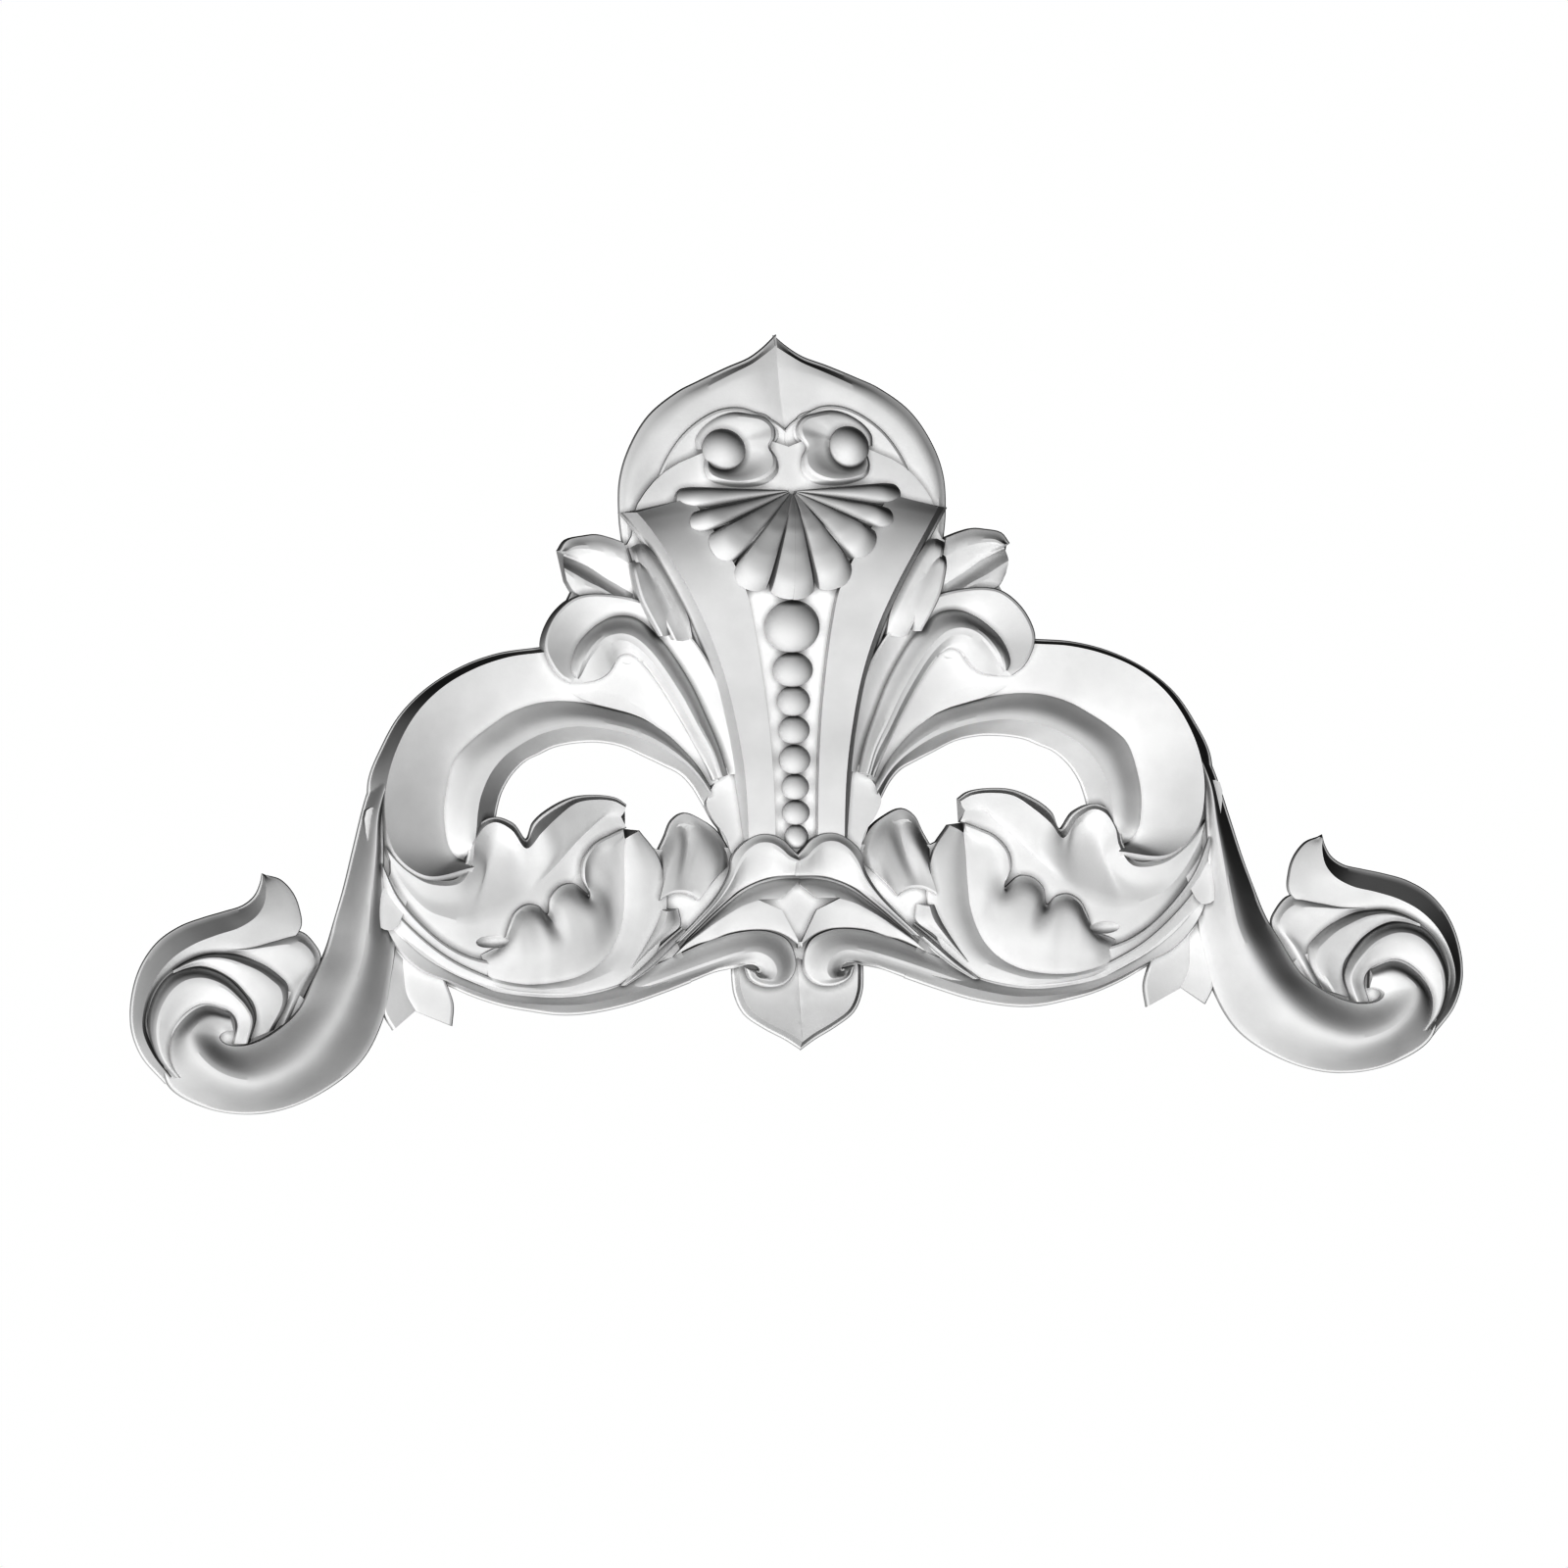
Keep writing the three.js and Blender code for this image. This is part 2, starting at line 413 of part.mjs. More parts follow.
// Tail: three fingers outside the curl of the stem, each rising steeply inside its edge, and a root
// lobe.
function tail(side) {
  return [
    form(side, [
      rail([[79.6, -20.6], [80, -22.2], [80.9, -23.9], [82.6, -25.2], [85.4, -26], [88.6, -26.8],
        [92.2, -28], [95.6, -30.2], [98.3, -33.8], [99.8, -38.4], [100, -43], [98.6, -47.2],
        [95.2, -51.4]], EDGE),
      rail([[79.4, -21.1], [79.3, -23.2], [79.7, -25.2], [81, -27], [83.5, -28.5], [87, -29.5],
        [90.4, -30.7], [93.6, -32.6], [96.2, -35.4], [98, -39.2], [98.5, -43.2], [97.1, -46.9],
        [94.6, -50.4]], [2.6, 3.6, 3.8, 3.8, 3.6]),
      rail([[79, -20.9], [77, -21.6], [75.2, -23.6], [74.3, -26], [74.2, -29], [78, -32.4], [84, -32.2],
        [89.4, -32.4], [93.8, -34.6], [96.6, -37.8], [97.6, -42.4], [96.2, -46.4], [94, -49.6]],
        [2, 2.2, 2.4, 2.4, 2.4]),
    ], 2),
    form(side, [
      rail([[76.4, -43.2], [73.4, -38], [71.3, -33.6], [72.2, -31.4], [74.2, -29.5], [77.5, -29.9],
        [81.5, -30.7], [86, -31.4]], [2.8, 2.4, 1.8, 1.8, 1.8, 1.8, 1.8, 1.8]),
      rail([[77.4, -43.2], [74.8, -37.6], [73, -34.2], [73.9, -32.4], [75.8, -31.4], [78.8, -31.5],
        [82, -31.8], [86.2, -31.8]], [3.4, 3.2, 2.8, 2.9, 3.3, 3.4, 3.1, 2.6]),
      rail([[79, -43.8], [76.8, -38.6], [76.8, -37.2], [77.8, -36.2], [79.4, -34.8], [81.8, -33.4],
        [84.4, -32.4], [87, -32.2]], [2.8, 2.3, 2.2]),
    ], 2),
    form(side, [
      rail([[78, -43.8], [75.9, -39.6], [75.9, -37], [77.3, -35.4], [79.3, -33.9], [82, -32.6],
        [85, -31.8], [88.2, -31.8], [91.2, -32.7], [93.8, -34.2]], 1.8),
      rail([[79.8, -44.2], [77.6, -40], [77.8, -37.9], [79.1, -36.5], [80.9, -35.1], [83.1, -34],
        [85.5, -33.1], [88.2, -32.8], [90.8, -33.3], [93.6, -34.5]], [4.6, 4.7, 4.6, 4.2, 3]),
      rail([[82.6, -45.2], [81.6, -42], [82, -39.8], [83, -38.4], [84.3, -36.8], [85.8, -35.6],
        [87.6, -34.6], [89.4, -34.1], [91.4, -34.3], [93.6, -35]], [4, 3.6, 3]),
    ], 2),
    form(side, [
      rail([[82, -45.4], [81.2, -41.6], [82, -39.2], [83.4, -37.2], [85.3, -35.3], [87.3, -34.2],
        [89.5, -33.6], [92, -33.8], [94.4, -34.8], [96.4, -37.1], [97.8, -40.4], [98, -43.8], [97, -47.2],
        [94.6, -50.6]], [3, 2.8, 2.4, 2, 1.8]),
      rail([[83.2, -45.8], [82.3, -42.2], [83.1, -40.3], [84.4, -38.7], [86, -37.2], [87.8, -36.2],
        [89.8, -35.7], [92, -36], [93.9, -37.2], [95.5, -39.3], [96.5, -41.9], [96.6, -44.8],
        [95.7, -47.8], [93.8, -50.4]], [6.2, 6.5, 6.4, 6, 4.8]),
      rail([[85.2, -45.8], [84.6, -43], [85, -41.7], [85.8, -40.9], [86.8, -40.4], [87.9, -40.1],
        [89.2, -40], [90.6, -40.4], [91.9, -41.4], [93, -43], [93.7, -45], [93.8, -47], [93.2, -49],
        [92, -50.8]], [5.6, 5.2, 5, 4.8, 4.4]),
    ], 2),
  ];
}

// Lip leaf: a small dished lobe and a long lobe that stand up over the opening.
function lipLeaf(side) {
  return form(side, [
    rail([[61.5, -17.6], [58.8, -20.4], [55, -22.6], [51, -22.9], [49.3, -20.4], [48.7, -17.3],
      [47, -14.8], [44.8, -14.1], [42, -15.2], [40, -17.6], [38.9, -15.2], [36.5, -13.2], [33, -11.6],
      [29.5, -11.3], [26.4, -11.8], [24.9, -12.8]],
      [6.4, 6.2, 5.6, 5, 4.4, 4.4, 4.4, 4.4, 4, 2.4, 3, 4, 4.2, 3.8, 3.2, 2.8]),
    rail([[61.2, -18.4], [58.7, -21.2], [54.8, -23.6], [50.4, -23.6], [48.5, -20.6], [48, -17.9],
      [46.6, -15.6], [44.8, -14.9], [42.4, -16.2], [40.3, -19], [38.1, -16.7], [35.8, -14.6],
      [32.8, -12.5], [29.6, -12], [26.8, -12.3], [25.1, -13.2]],
      [6.5, 6.4, 6, 5.6, 5.4, 5.2, 5.2, 5.2, 5, 4.4, 7, 6.8, 6, 5, 4, 3.4]),
    rail([[60.8, -19.8], [58.5, -22.8], [54.8, -25.8], [50.4, -26], [47, -23], [46, -20.4], [45, -18.6],
      [43.6, -17.8], [42, -19], [40.2, -21.8], [37, -20.4], [34.6, -18.2], [31.8, -15.9], [29.4, -14.4],
      [27.2, -13.6], [25.3, -13.9]],
      [6.2, 5.8, 5.2, 4.6, 3.9, 3.2, 2.9, 2.9, 3.2, 4.2, 5.5, 5.3, 4.8, 4.2, 3.6, 3.2]),
    rail([[60.4, -20.8], [58.4, -24.2], [55.4, -27.4], [52, -28.9], [50, -29.4], [48.3, -29.4],
      [46.5, -28.9], [44.5, -28.2], [42.5, -27.1], [40.5, -25.7], [38.5, -24], [36, -21.8], [33.3, -18.9],
      [30.5, -16.3], [28.3, -14.6], [25.8, -14.6]],
      [6, 5.6, 5.2, 5, 4.8, 4.6, 4.5, 4.4, 4.3, 4.2, 4.1, 4, 3.8, 3.5, 3.2, 3]),
    rail([[61.2, -22.4], [59.4, -26], [56.4, -29.8], [53.4, -32.4], [50.8, -34], [48.6, -35],
      [46.5, -35.4], [44.3, -35.2], [42, -34.2], [39.6, -32], [37.4, -29.4], [34.6, -26], [31.6, -22.6],
      [28.6, -19], [26.6, -16.9], [25, -16.3]],
      [4.8, 4.2, 3.8, 3.6, 3.4, 3.3, 3.2, 3.2, 3.2, 3.2, 3.2, 3.2, 3.2, 3.1, 3, 2.8]),
  ]);
}

// Lower leaf: two round scallops and a long lobe fall from their outline to a line, and a flatter
// band turns up beside them.
function lowerLeaf(side) {
  return form(side, [
    rail([[47.6, -34.4], [44.4, -32.8], [43.4, -30.4], [42.4, -28.4], [40.6, -27.3], [38.8, -27.6],
      [37.5, -28.8], [37, -26.4], [35.4, -24.7], [33.4, -24.4], [31.2, -26], [32.2, -23.4], [31.9, -20.8],
      [30, -18.4], [27.4, -17.1], [25.6, -16.4]],
      [3.6, 4.4, 5, 5, 5, 4.8, 4, 5, 5, 4.8, 4.2, 5.6, 5.8, 5.4, 4.6, 4]),
    rail([[47.2, -35.8], [44.6, -34.4], [42.4, -32], [41.2, -30.4], [39.8, -29.8], [38.4, -30.4],
      [36.6, -30.6], [35.4, -28.2], [34.2, -27.2], [32.6, -27.2], [31, -27], [30.8, -24.2], [30.4, -21.6],
      [29.2, -19.8], [27.4, -18.8], [25.7, -17.4]],
      [4, 5.8, 7, 7, 6.8, 6.8, 5.8, 6.8, 6.8, 6.4, 5.4, 4.6, 4.6, 4.4, 4.2, 3.8]),
    rail([[46.8, -36.6], [44.4, -36.4], [42.2, -35.2], [40.6, -34.6], [39, -34.4], [37.4, -34.4],
      [35.4, -33.8], [33.8, -32.8], [32.2, -31.6], [30.6, -30.4], [29.2, -28.8], [28.4, -26.4],
      [28, -23.6], [27.4, -21.2], [26.6, -19.2], [25.7, -17.8]],
      [4, 5.6, 6.6, 6.8, 6.8, 6.8, 6.6, 6.6, 6.6, 6.4, 5.6, 4.4, 4, 3.8, 3.6, 3.5]),
    rail([[46.6, -37.8], [44.4, -38.6], [42.2, -39.1], [40.6, -39.3], [39, -39.3], [37.4, -39.2],
      [35.4, -38.9], [33.4, -38.4], [31.4, -37.5], [29.6, -36.2], [28, -34.4], [26.8, -32], [26, -29],
      [25.7, -25], [25.6, -21], [25.4, -17.9]],
      [3.6, 3.9, 4, 4, 3.9, 3.9, 3.8, 3.8, 3.7, 3.6, 3.5, 3.5, 3.4, 3.4, 3.4, 3.4]),
    rail([[46.6, -38.5], [44.3, -39.3], [42, -39.8], [40.2, -40], [38.4, -40.1], [36.6, -40],
      [34.4, -39.8], [32.2, -39.2], [30, -38.4], [27.6, -37.2], [25.6, -35.2], [24.4, -32.6],
      [23.6, -29.4], [23.2, -25], [23.6, -20.8], [24.6, -17.4]],
      [3.6, 4.2, 4.4, 4.5, 4.5, 4.5, 4.5, 4.5, 4.5, 4.6, 4.7, 4.8, 4.8, 4.8, 4.6, 4]),
    rail([[46.6, -39.3], [44.2, -40.1], [41.8, -40.6], [39.8, -40.9], [37.8, -41.1], [35.8, -41.2],
      [33.4, -41.1], [31, -40.7], [28.4, -40.1], [25.4, -39], [22.6, -37], [20.6, -33.5], [19.6, -29.5],
      [19.5, -25], [20.6, -20.5], [23.2, -16.7]],
      [3, 3.2, 3.3, 3.4, 3.4, 3.4, 3.4, 3.5, 3.6, 3.8, 4, 4.3, 4.6, 4.8, 4.6, 3.8]),
  ]);
}

// Almond lobes between the lower leaf and the heart.
function almonds(side) {
  return [
    form(side, [
      rail([[21.4, -28.2], [22.4, -31], [24, -34], [26, -37.2]], 3.8),
      rail([[19.6, -28.8], [20.2, -30.8], [22, -33.4], [25.2, -37.2]], [5.8, 6, 5.6, 4.4]),
      rail([[17.8, -28.4], [17.6, -30.9], [20.3, -33.1], [24.6, -37.2]], [4.4, 4.6, 4.4, 3.6]),
    ]),
    form(side, [
      rail([[17.6, -31.2], [20.3, -33.4], [24.4, -37.2], [27, -39.8]], 4),
      rail([[16.9, -31.8], [19.4, -34], [23.2, -37.4], [26.4, -39.8]], [5, 5.2, 5, 4]),
      rail([[17, -33], [18.5, -34.3], [22, -37.3], [26, -39.8]], 3.8),
    ]),
  ];
}

// Rim bands of the lower edge, from the stem round to the small volute.
function rim(side) {
  return [
    form(side, [
      rail([[62, -20], [59.8, -25], [56, -29.8], [52, -33.2], [48.3, -35], [44, -35.8], [40, -35.8]],
        [6, 5.4, 5, 4.8, 4.6, 4.2, 3.8]),
      rail([[62, -24.6], [60, -27.7], [56, -32], [52, -35.2], [48, -37.4], [44, -39], [40, -39.6]],
        [4.2, 4.2, 4, 3.8, 3.6, 3.4, 3]),
    ]),
    form(side, [
      rail([[62, -24.4], [60, -27.4], [56, -31.7], [52, -34.9], [48, -37.1], [44, -38.7], [40, -39.4],
        [36, -39.4], [32, -38.6], [28, -36.8], [24, -35], [19.4, -33.2]],
        [4.5, 4.5, 4.4, 4.2, 4, 3.6, 3, 3, 3, 3, 3.4, 3.8]),
      rail([[62, -27.6], [60.2, -30.4], [56, -34], [52, -37], [48, -38.9], [44, -40.2], [40, -40.9],
        [36, -41.2], [32, -40.9], [27, -39.8], [22, -37.2], [18.2, -33.6]],
        [3.2, 3, 3, 3, 3, 3, 3, 3, 3, 3.2, 3.4, 4]),
      rail([[61.6, -29.4], [60.2, -32.2], [56.4, -36.2], [52.6, -38], [48.4, -40], [44, -41.6],
        [40, -42.2], [36, -42.5], [32, -42.4], [26, -41.2], [20.4, -39.4], [16.4, -37.9]],
        [3, 3, 3.4, 3.6, 3.8, 4, 4.2, 4.3, 4.4, 4.6, 4.8, 5]),
      rail([[61.4, -30.6], [60, -33.4], [56.4, -37], [53, -38.6], [48.4, -40.9], [44, -42.5], [40, -43.4],
        [36, -44.05], [32, -44], [26, -42.9], [20.4, -41.1], [16, -39.5]],
        [2, 1.6, EDGE, EDGE, EDGE, EDGE, EDGE, EDGE, EDGE, EDGE, EDGE, EDGE]),
    ]),
    form(side, [
      rail([[26, -38.6], [21, -36.4], [17, -34.6], [13, -33], [9, -32], [5, -31.9], [1.8, -33.3],
        [0.7, -35.6], [0.7, -38], [2.2, -39.9], [5, -40.4], [7.5, -39.2], [8.2, -37.4]],
        [2.8, 4, 4.4, 4.8, 5, 5, 5, 5, 5, 5, 5, 5, 5]),
      rail([[26, -41], [21, -39.3], [16.6, -37.8], [12.6, -36.5], [9.6, -35.6], [6.6, -35.1], [4.7, -36],
        [3.9, -37.2], [3.8, -38.3], [4.4, -39.2], [5.4, -39.2], [6.5, -38.9], [7, -38.2]],
        [3.6, 4.9, 5.8, 6.4, 6.8, 7.1, 7.3, 7.4, 7.4, 7.4, 7.2, 6.8, 6.4]),
      rail([[26, -42.6], [21, -41.2], [16, -39.4], [12.6, -38.1], [9.8, -37.5], [8.4, -37.1], [7.4, -37],
        [6.9, -37.1], [6.5, -37.3], [6.3, -37.5], [6.2, -37.7], [6.3, -37.8], [6.4, -37.8]],
        [0.5, 0.7, EDGE, EDGE, 2.4, 4.4, 5, 5.2, 5.2, 5.2, 5.2, 5.2, 5.2]),
    ]),
  ];
}

// Leaf beside the heart, rising from the opening to the slot above the almonds.
function heartLeaf(side) {
  return form(side, [
    rail([[9.8, -22], [9.9, -19.8], [11.4, -17], [13.5, -15.3], [16.3, -14.1], [18.2, -15.2],
      [19.4, -17.7], [20.4, -19.6]], [3.4, 3, 2.6, 2.6, 3]),
    rail([[12.4, -24], [12.4, -22], [13.2, -20.4], [14.4, -19.2], [16, -18.6], [17.2, -19], [18.4, -20.4],
      [19.6, -22.4]], [6.2, 5.8, 5.5, 5, 3.8, 5, 5.6, 5.8]),
    rail([[15, -27.2], [15.4, -26.8], [16, -26.5], [16.8, -26.2], [17.8, -26.1], [18.8, -26.2],
      [19.8, -26.6], [20.8, -27.2]], 6.2),
  ]);
}

// Heart: two lobes at the foot of the console, a grooved band and a field with a sunk star.
function heart(side) {
  return [
    form(side, [
      rail([[18.6, -33.4], [15, -29.8], [12, -26.4], [10.1, -23], [9.7, -20.7], [8.2, -18.9], [6, -17.65],
        [4, -17.6], [2.1, -18.45], [0.8, -19.8], [-0.3, -20.9]], [5.4, 6, 6.8, 7.2, 7.4, 7.4]),
      rail([[17.9, -33.2], [14.8, -30.3], [12.2, -27.6], [10.2, -25], [8.8, -22.4], [7.6, -20.7],
        [5.8, -19.6], [4, -19.6], [2.6, -20.4], [1.4, -21.4], [-0.3, -22]],
        [5.6, 6.4, 7.2, 7.9, 8.2, 8.2]),
      rail([[16.8, -33], [14.6, -31], [12.6, -29.2], [10.6, -27.5], [9, -26.2], [7.6, -25.4], [6, -24.7],
        [4.4, -24.2], [3, -24], [1.5, -23.95], [-0.3, -23.95]], [4.8, 4.8, 4.8, 5, 5.6]),
    ]),
    form(side, [
      rail([[16.6, -33], [14.4, -30.8], [12.4, -29], [10.4, -27.3], [8.4, -25.8], [6.2, -24.7],
        [4.2, -24.1], [2.2, -23.8], [-0.3, -23.8]], [4.4, 4.6, 4.6, 4.6, 4.8]),
      rail([[16.9, -33.6], [14.6, -32], [12.6, -30.6], [10.5, -29.3], [8.5, -28.2], [6.4, -27.5],
        [4.4, -27], [2.2, -26.6], [-0.3, -26.4]], [5.2, 6.4, 7, 7, 6.8]),
      rail([[19, -35.6], [15.6, -33.9], [13.1, -33.2], [10.6, -32.3], [8.4, -31.9], [6, -31.8], [4, -32],
        [2, -32.8], [-0.3, -34.6]], [5, 5.4, 5.6, 5.8, 6.2]),
    ]),
  ];
}

// Pointed drop: a dished face with a bevelled edge.
function drop(side) {
  return form(side, [
    rail([[9.85, -36], [9.9, -38.8], [9.6, -41.6], [8.3, -44.4], [5.4, -46.6], [2.2, -48.4], [0, -49.9]],
      EDGE),
    rail([[8.9, -36], [8.9, -38.8], [8.6, -41.4], [7.4, -43.9], [4.8, -45.8], [1.9, -47.4], [0, -48.7]],
      [2, 2.2, 2.6, 3, 3.3, 3.5, 3.6]),
    rail([[5.4, -34], [5.4, -37.5], [5.2, -40.4], [4.6, -42.4], [3, -44], [1.2, -45.6], [0, -46.6]],
      [1, 1.2, 1.8, 2.4, 2.8, 3.1, 3.3]),
    rail([[-0.3, -34], [-0.3, -37.5], [-0.3, -40], [-0.3, -41.6], [-0.3, -43], [-0.3, -44.4],
      [-0.3, -45.6]], [0.9, 1.1, 1.7, 2.2, 2.5, 2.9, 3.1]),
  ]);
}

// Arrow leaflet behind the stem: two thin blades that meet in a crease.
function arrow(side) {
  return [
    form(side, [
      rail([[62, -30], [61.6, -36], [62.4, -42], [61, -45]], [2.2, 2, 1.8]),
      rail([[59, -30], [58.8, -35.4], [58.4, -39.6], [57.2, -42.1]], [1.2, 1.2, 1]),
    ]),
    form(side, [
      rail([[59.4, -30], [59.3, -35.4], [59, -39.6], [57.6, -42.3]], [1.2, 1.2, 1]),
      rail([[54, -33], [52.8, -38.2], [51.8, -41.6], [52.1, -44.9]], [2.4, 2.2, 2]),
    ]),
  ];
}

// Ground under the carving, where neighbouring forms leave a seam.
function ground(side) {
  return [
    plate(side, [[-0.3, 40], [16, 38], [22, 32], [23.6, 26], [31, 24], [32, 19], [34.4, 15], [36, 11],
      [35, 6], [31, 3], [22, 0], [16, -5], [12, -10.6], [11.4, -16], [9.4, -20], [6, -21], [-0.3, -21]],
    0, 3.6),
    plate(side, [[-0.3, -22], [7, -19], [10.6, -19.4], [14, -16.6], [17.2, -15.8], [19.8, -19.6],
      [22.6, -18.6], [26, -18], [34, -20], [42, -26], [50, -28], [58, -24], [62, -22], [60.6, -29],
      [56, -34.4], [48, -39], [40, -42], [32, -42.6], [22, -39.8], [12, -36.8], [-0.3, -36]], 0, 3.2),
    plate(side, [[74, -40], [76, -38.4], [80, -38.4], [84, -40], [88, -41.4], [89, -45], [86, -47.4],
      [80, -47], [76, -44]], 0, 2.8),
    plate(side, [[64, -12], [61, -12], [58.5, -18], [58, -24], [60.6, -30], [63.2, -29], [63.6, -20]],
    0, 4.6),
  ];
}

// Four-pointed star sunk in the heart.
const STAR = { up: -27.3, top: -24.9, bottom: -33.7, reach: 6.2, floor: 4.4 };

function star(side) {
  const outline = new THREE.Shape([
    new THREE.Vector2(-0.3, STAR.top),
    new THREE.Vector2(0, STAR.top),
    new THREE.Vector2(STAR.reach * 0.44, STAR.up + 0.1),
    new THREE.Vector2(STAR.reach, STAR.up),
    new THREE.Vector2(STAR.reach * 0.42, STAR.up - 1.7),
    new THREE.Vector2(0.2, STAR.bottom),
    new THREE.Vector2(-0.3, STAR.bottom),
  ]);
  const body = new THREE.ExtrudeGeometry(outline, { depth: 4, bevelEnabled: false });
  body.translate(0, 0, STAR.floor);
  return placedGeometry(side, body);
}

// A drop-shaped eyelet sunk in the lip leaf, and a half moon sunk below the hooked lobe.
const eyelet = (side) => egg(side, [46, -32.7, 5], [2.6, 1.1, 2.6]);
const halfMoon = (side) => egg(side, [24.2, 8.4, 6.4], [2.2, 0.9, 2]);

function half(side) {
  return Manifold.union([arch(side), petal(side), shell(side), pilaster(side), channel(side), cheek(side),
    ear(side), flute(side), scroll(side), spandrel(side), stem(side), tail(side), lipLeaf(side),
    lowerLeaf(side), almonds(side), rim(side), heartLeaf(side), heart(side), drop(side), arrow(side),
    ground(side)].flat());
}

// Everything behind the flat back is cut away, over more than the panel's width and height.
function behind() {
  const reach = (PANEL_WIDTH / GRID) * 1.2;
  const thickness = reach / 10;
  const block = new THREE.BoxGeometry(reach, reach, thickness);
  block.translate(0, 0, -thickness / 2);
  return placedGeometry(1, block);
}

const body = Manifold.union([half(1), half(-1), ...beads()])
  .subtract(Manifold.union([1, -1].flatMap((side) => [star(side), eyelet(side), halfMoon(side)])))
  .subtract(behind());

const cut = body.getMesh();
const geometry = new THREE.BufferGeometry();
const corners = [];
for (let i = 0; i < cut.vertProperties.length; i += cut.numProp) {
  corners.push(cut.vertProperties[i], cut.vertProperties[i + 1], cut.vertProperties[i + 2]);
}
geometry.setAttribute('position', new THREE.Float32BufferAttribute(corners, 3));
geometry.setIndex(Array.from(cut.triVerts));
geometry.computeVertexNormals();

const plaster = new THREE.MeshStandardMaterial({ color: 0xe9e9e9, roughness: 0.85, metalness: 0 });
const applique = new THREE.Mesh(geometry, plaster);
applique.name = 'carved_applique';

const group = new THREE.Group();
group.name = 'wall_applique';
group.add(applique);
export default group;
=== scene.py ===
"""A white wall applique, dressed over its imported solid: fine carved relief, a matt cast surface,
soft studio light and a camera that looks from slightly left of the front."""

import math

import bmesh
import bpy
import numpy as np
from mathutils import Matrix, Vector


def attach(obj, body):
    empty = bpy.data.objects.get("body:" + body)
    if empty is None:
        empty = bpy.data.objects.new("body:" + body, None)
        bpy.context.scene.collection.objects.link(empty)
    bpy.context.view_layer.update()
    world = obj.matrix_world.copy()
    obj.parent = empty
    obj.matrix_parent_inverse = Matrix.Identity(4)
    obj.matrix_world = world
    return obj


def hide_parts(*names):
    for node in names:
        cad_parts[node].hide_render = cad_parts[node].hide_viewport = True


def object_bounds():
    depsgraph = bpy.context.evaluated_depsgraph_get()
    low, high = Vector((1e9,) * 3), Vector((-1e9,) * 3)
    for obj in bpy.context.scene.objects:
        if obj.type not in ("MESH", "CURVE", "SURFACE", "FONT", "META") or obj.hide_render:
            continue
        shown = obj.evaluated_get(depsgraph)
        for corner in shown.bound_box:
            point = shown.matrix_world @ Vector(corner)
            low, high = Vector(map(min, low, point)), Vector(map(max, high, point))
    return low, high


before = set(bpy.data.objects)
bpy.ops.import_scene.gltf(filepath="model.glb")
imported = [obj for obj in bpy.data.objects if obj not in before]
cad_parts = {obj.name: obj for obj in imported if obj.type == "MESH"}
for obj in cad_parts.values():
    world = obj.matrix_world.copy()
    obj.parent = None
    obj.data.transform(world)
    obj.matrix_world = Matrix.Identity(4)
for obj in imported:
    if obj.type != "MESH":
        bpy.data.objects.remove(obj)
cad_box = [list(corner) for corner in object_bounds()]

# The carving is drawn in units of 3 mm: across and up from the middle, and rising from the wall.
GRID = 0.003
RISE = 0.003
EDGE = 0.8
MIDDLE_UP = 0.2

# Carved by hand, the right half hangs a little lower between the middle and the end scroll, and
# the shell and petals lean a little to the right.
HAND_DROP = 0.7
DROP_AT = 40
DROP_SPREAD = 24
HAND_LEAN = 1.3
LEAN_AT = 36
LEAN_SPREAD = (20, 12)

# The longest step between two lines of the mesh, and the radius of a rounded outer edge.
FINE = 0.75
ROUNDING = 0.5
EDGE_SHARE = 0.5
GAP_SHARE = 0.4
ARC_SHARE = 0.29
LEAST_RISE = 0.2
SHARP_ANGLE = math.radians(28)


def place(side, points):
    """Drawn points as places in the frame, for the right half or the mirrored left half."""
    out, up, rise = points[..., 0], points[..., 1], points[..., 2]
    drop = side * HAND_DROP * np.exp(-(((np.abs(out) - DROP_AT) / DROP_SPREAD) ** 2))
    lean = HAND_LEAN * np.exp(-((out / LEAN_SPREAD[0]) ** 2) - ((up - LEAN_AT) / LEAN_SPREAD[1]) ** 2)
    return np.stack([(side * out + lean) * GRID, -rise * RISE, (up - drop - MIDDLE_UP) * GRID], axis=-1)


def rail(points, rises):
    """Points of a smooth line along a form; the rises are spread evenly along it."""
    rises = rises if isinstance(rises, list) else [rises]
    points = np.array(points, float)
    at = np.linspace(0, len(rises) - 1, len(points))
    return np.column_stack([points, np.interp(at, np.arange(len(rises)), rises)])


def between(first, second, share, lift):
    """A line between two rails, a share of the way across and a lift of the way up."""
    return first + (second - first) * np.array([share, share, lift])


def smooth(points, per_span, closed=False):
    """A centripetal Catmull-Rom spline through the points."""
    points = np.asarray(points, float)
    if closed:
        padded = np.vstack([points[-1], points, points[0], points[1]])
    else:
        padded = np.vstack([2 * points[0] - points[1], points, 2 * points[-1] - points[-2]])
    result = []
    t = np.linspace(0, 1, per_span, endpoint=False)[:, None]
    for i in range(len(padded) - 3):
        a, b, c, d = padded[i : i + 4]
        gaps = [max(np.linalg.norm(q - p) ** 0.5, 1e-4) for p, q in ((a, b), (b, c), (c, d))]
        first = ((b - a) / gaps[0] - (c - a) / (gaps[0] + gaps[1]) + (c - b) / gaps[1]) * gaps[1]
        second = ((c - b) / gaps[1] - (d - b) / (gaps[1] + gaps[2]) + (d - c) / gaps[2]) * gaps[1]
        result.append(
            b + first * t + (-3 * b + 3 * c - 2 * first - second) * t**2
            + (2 * b - 2 * c + first + second) * t**3
        )
    result = np.vstack(result)
    return result if closed else np.vstack([result, points[-1]])


solids = []


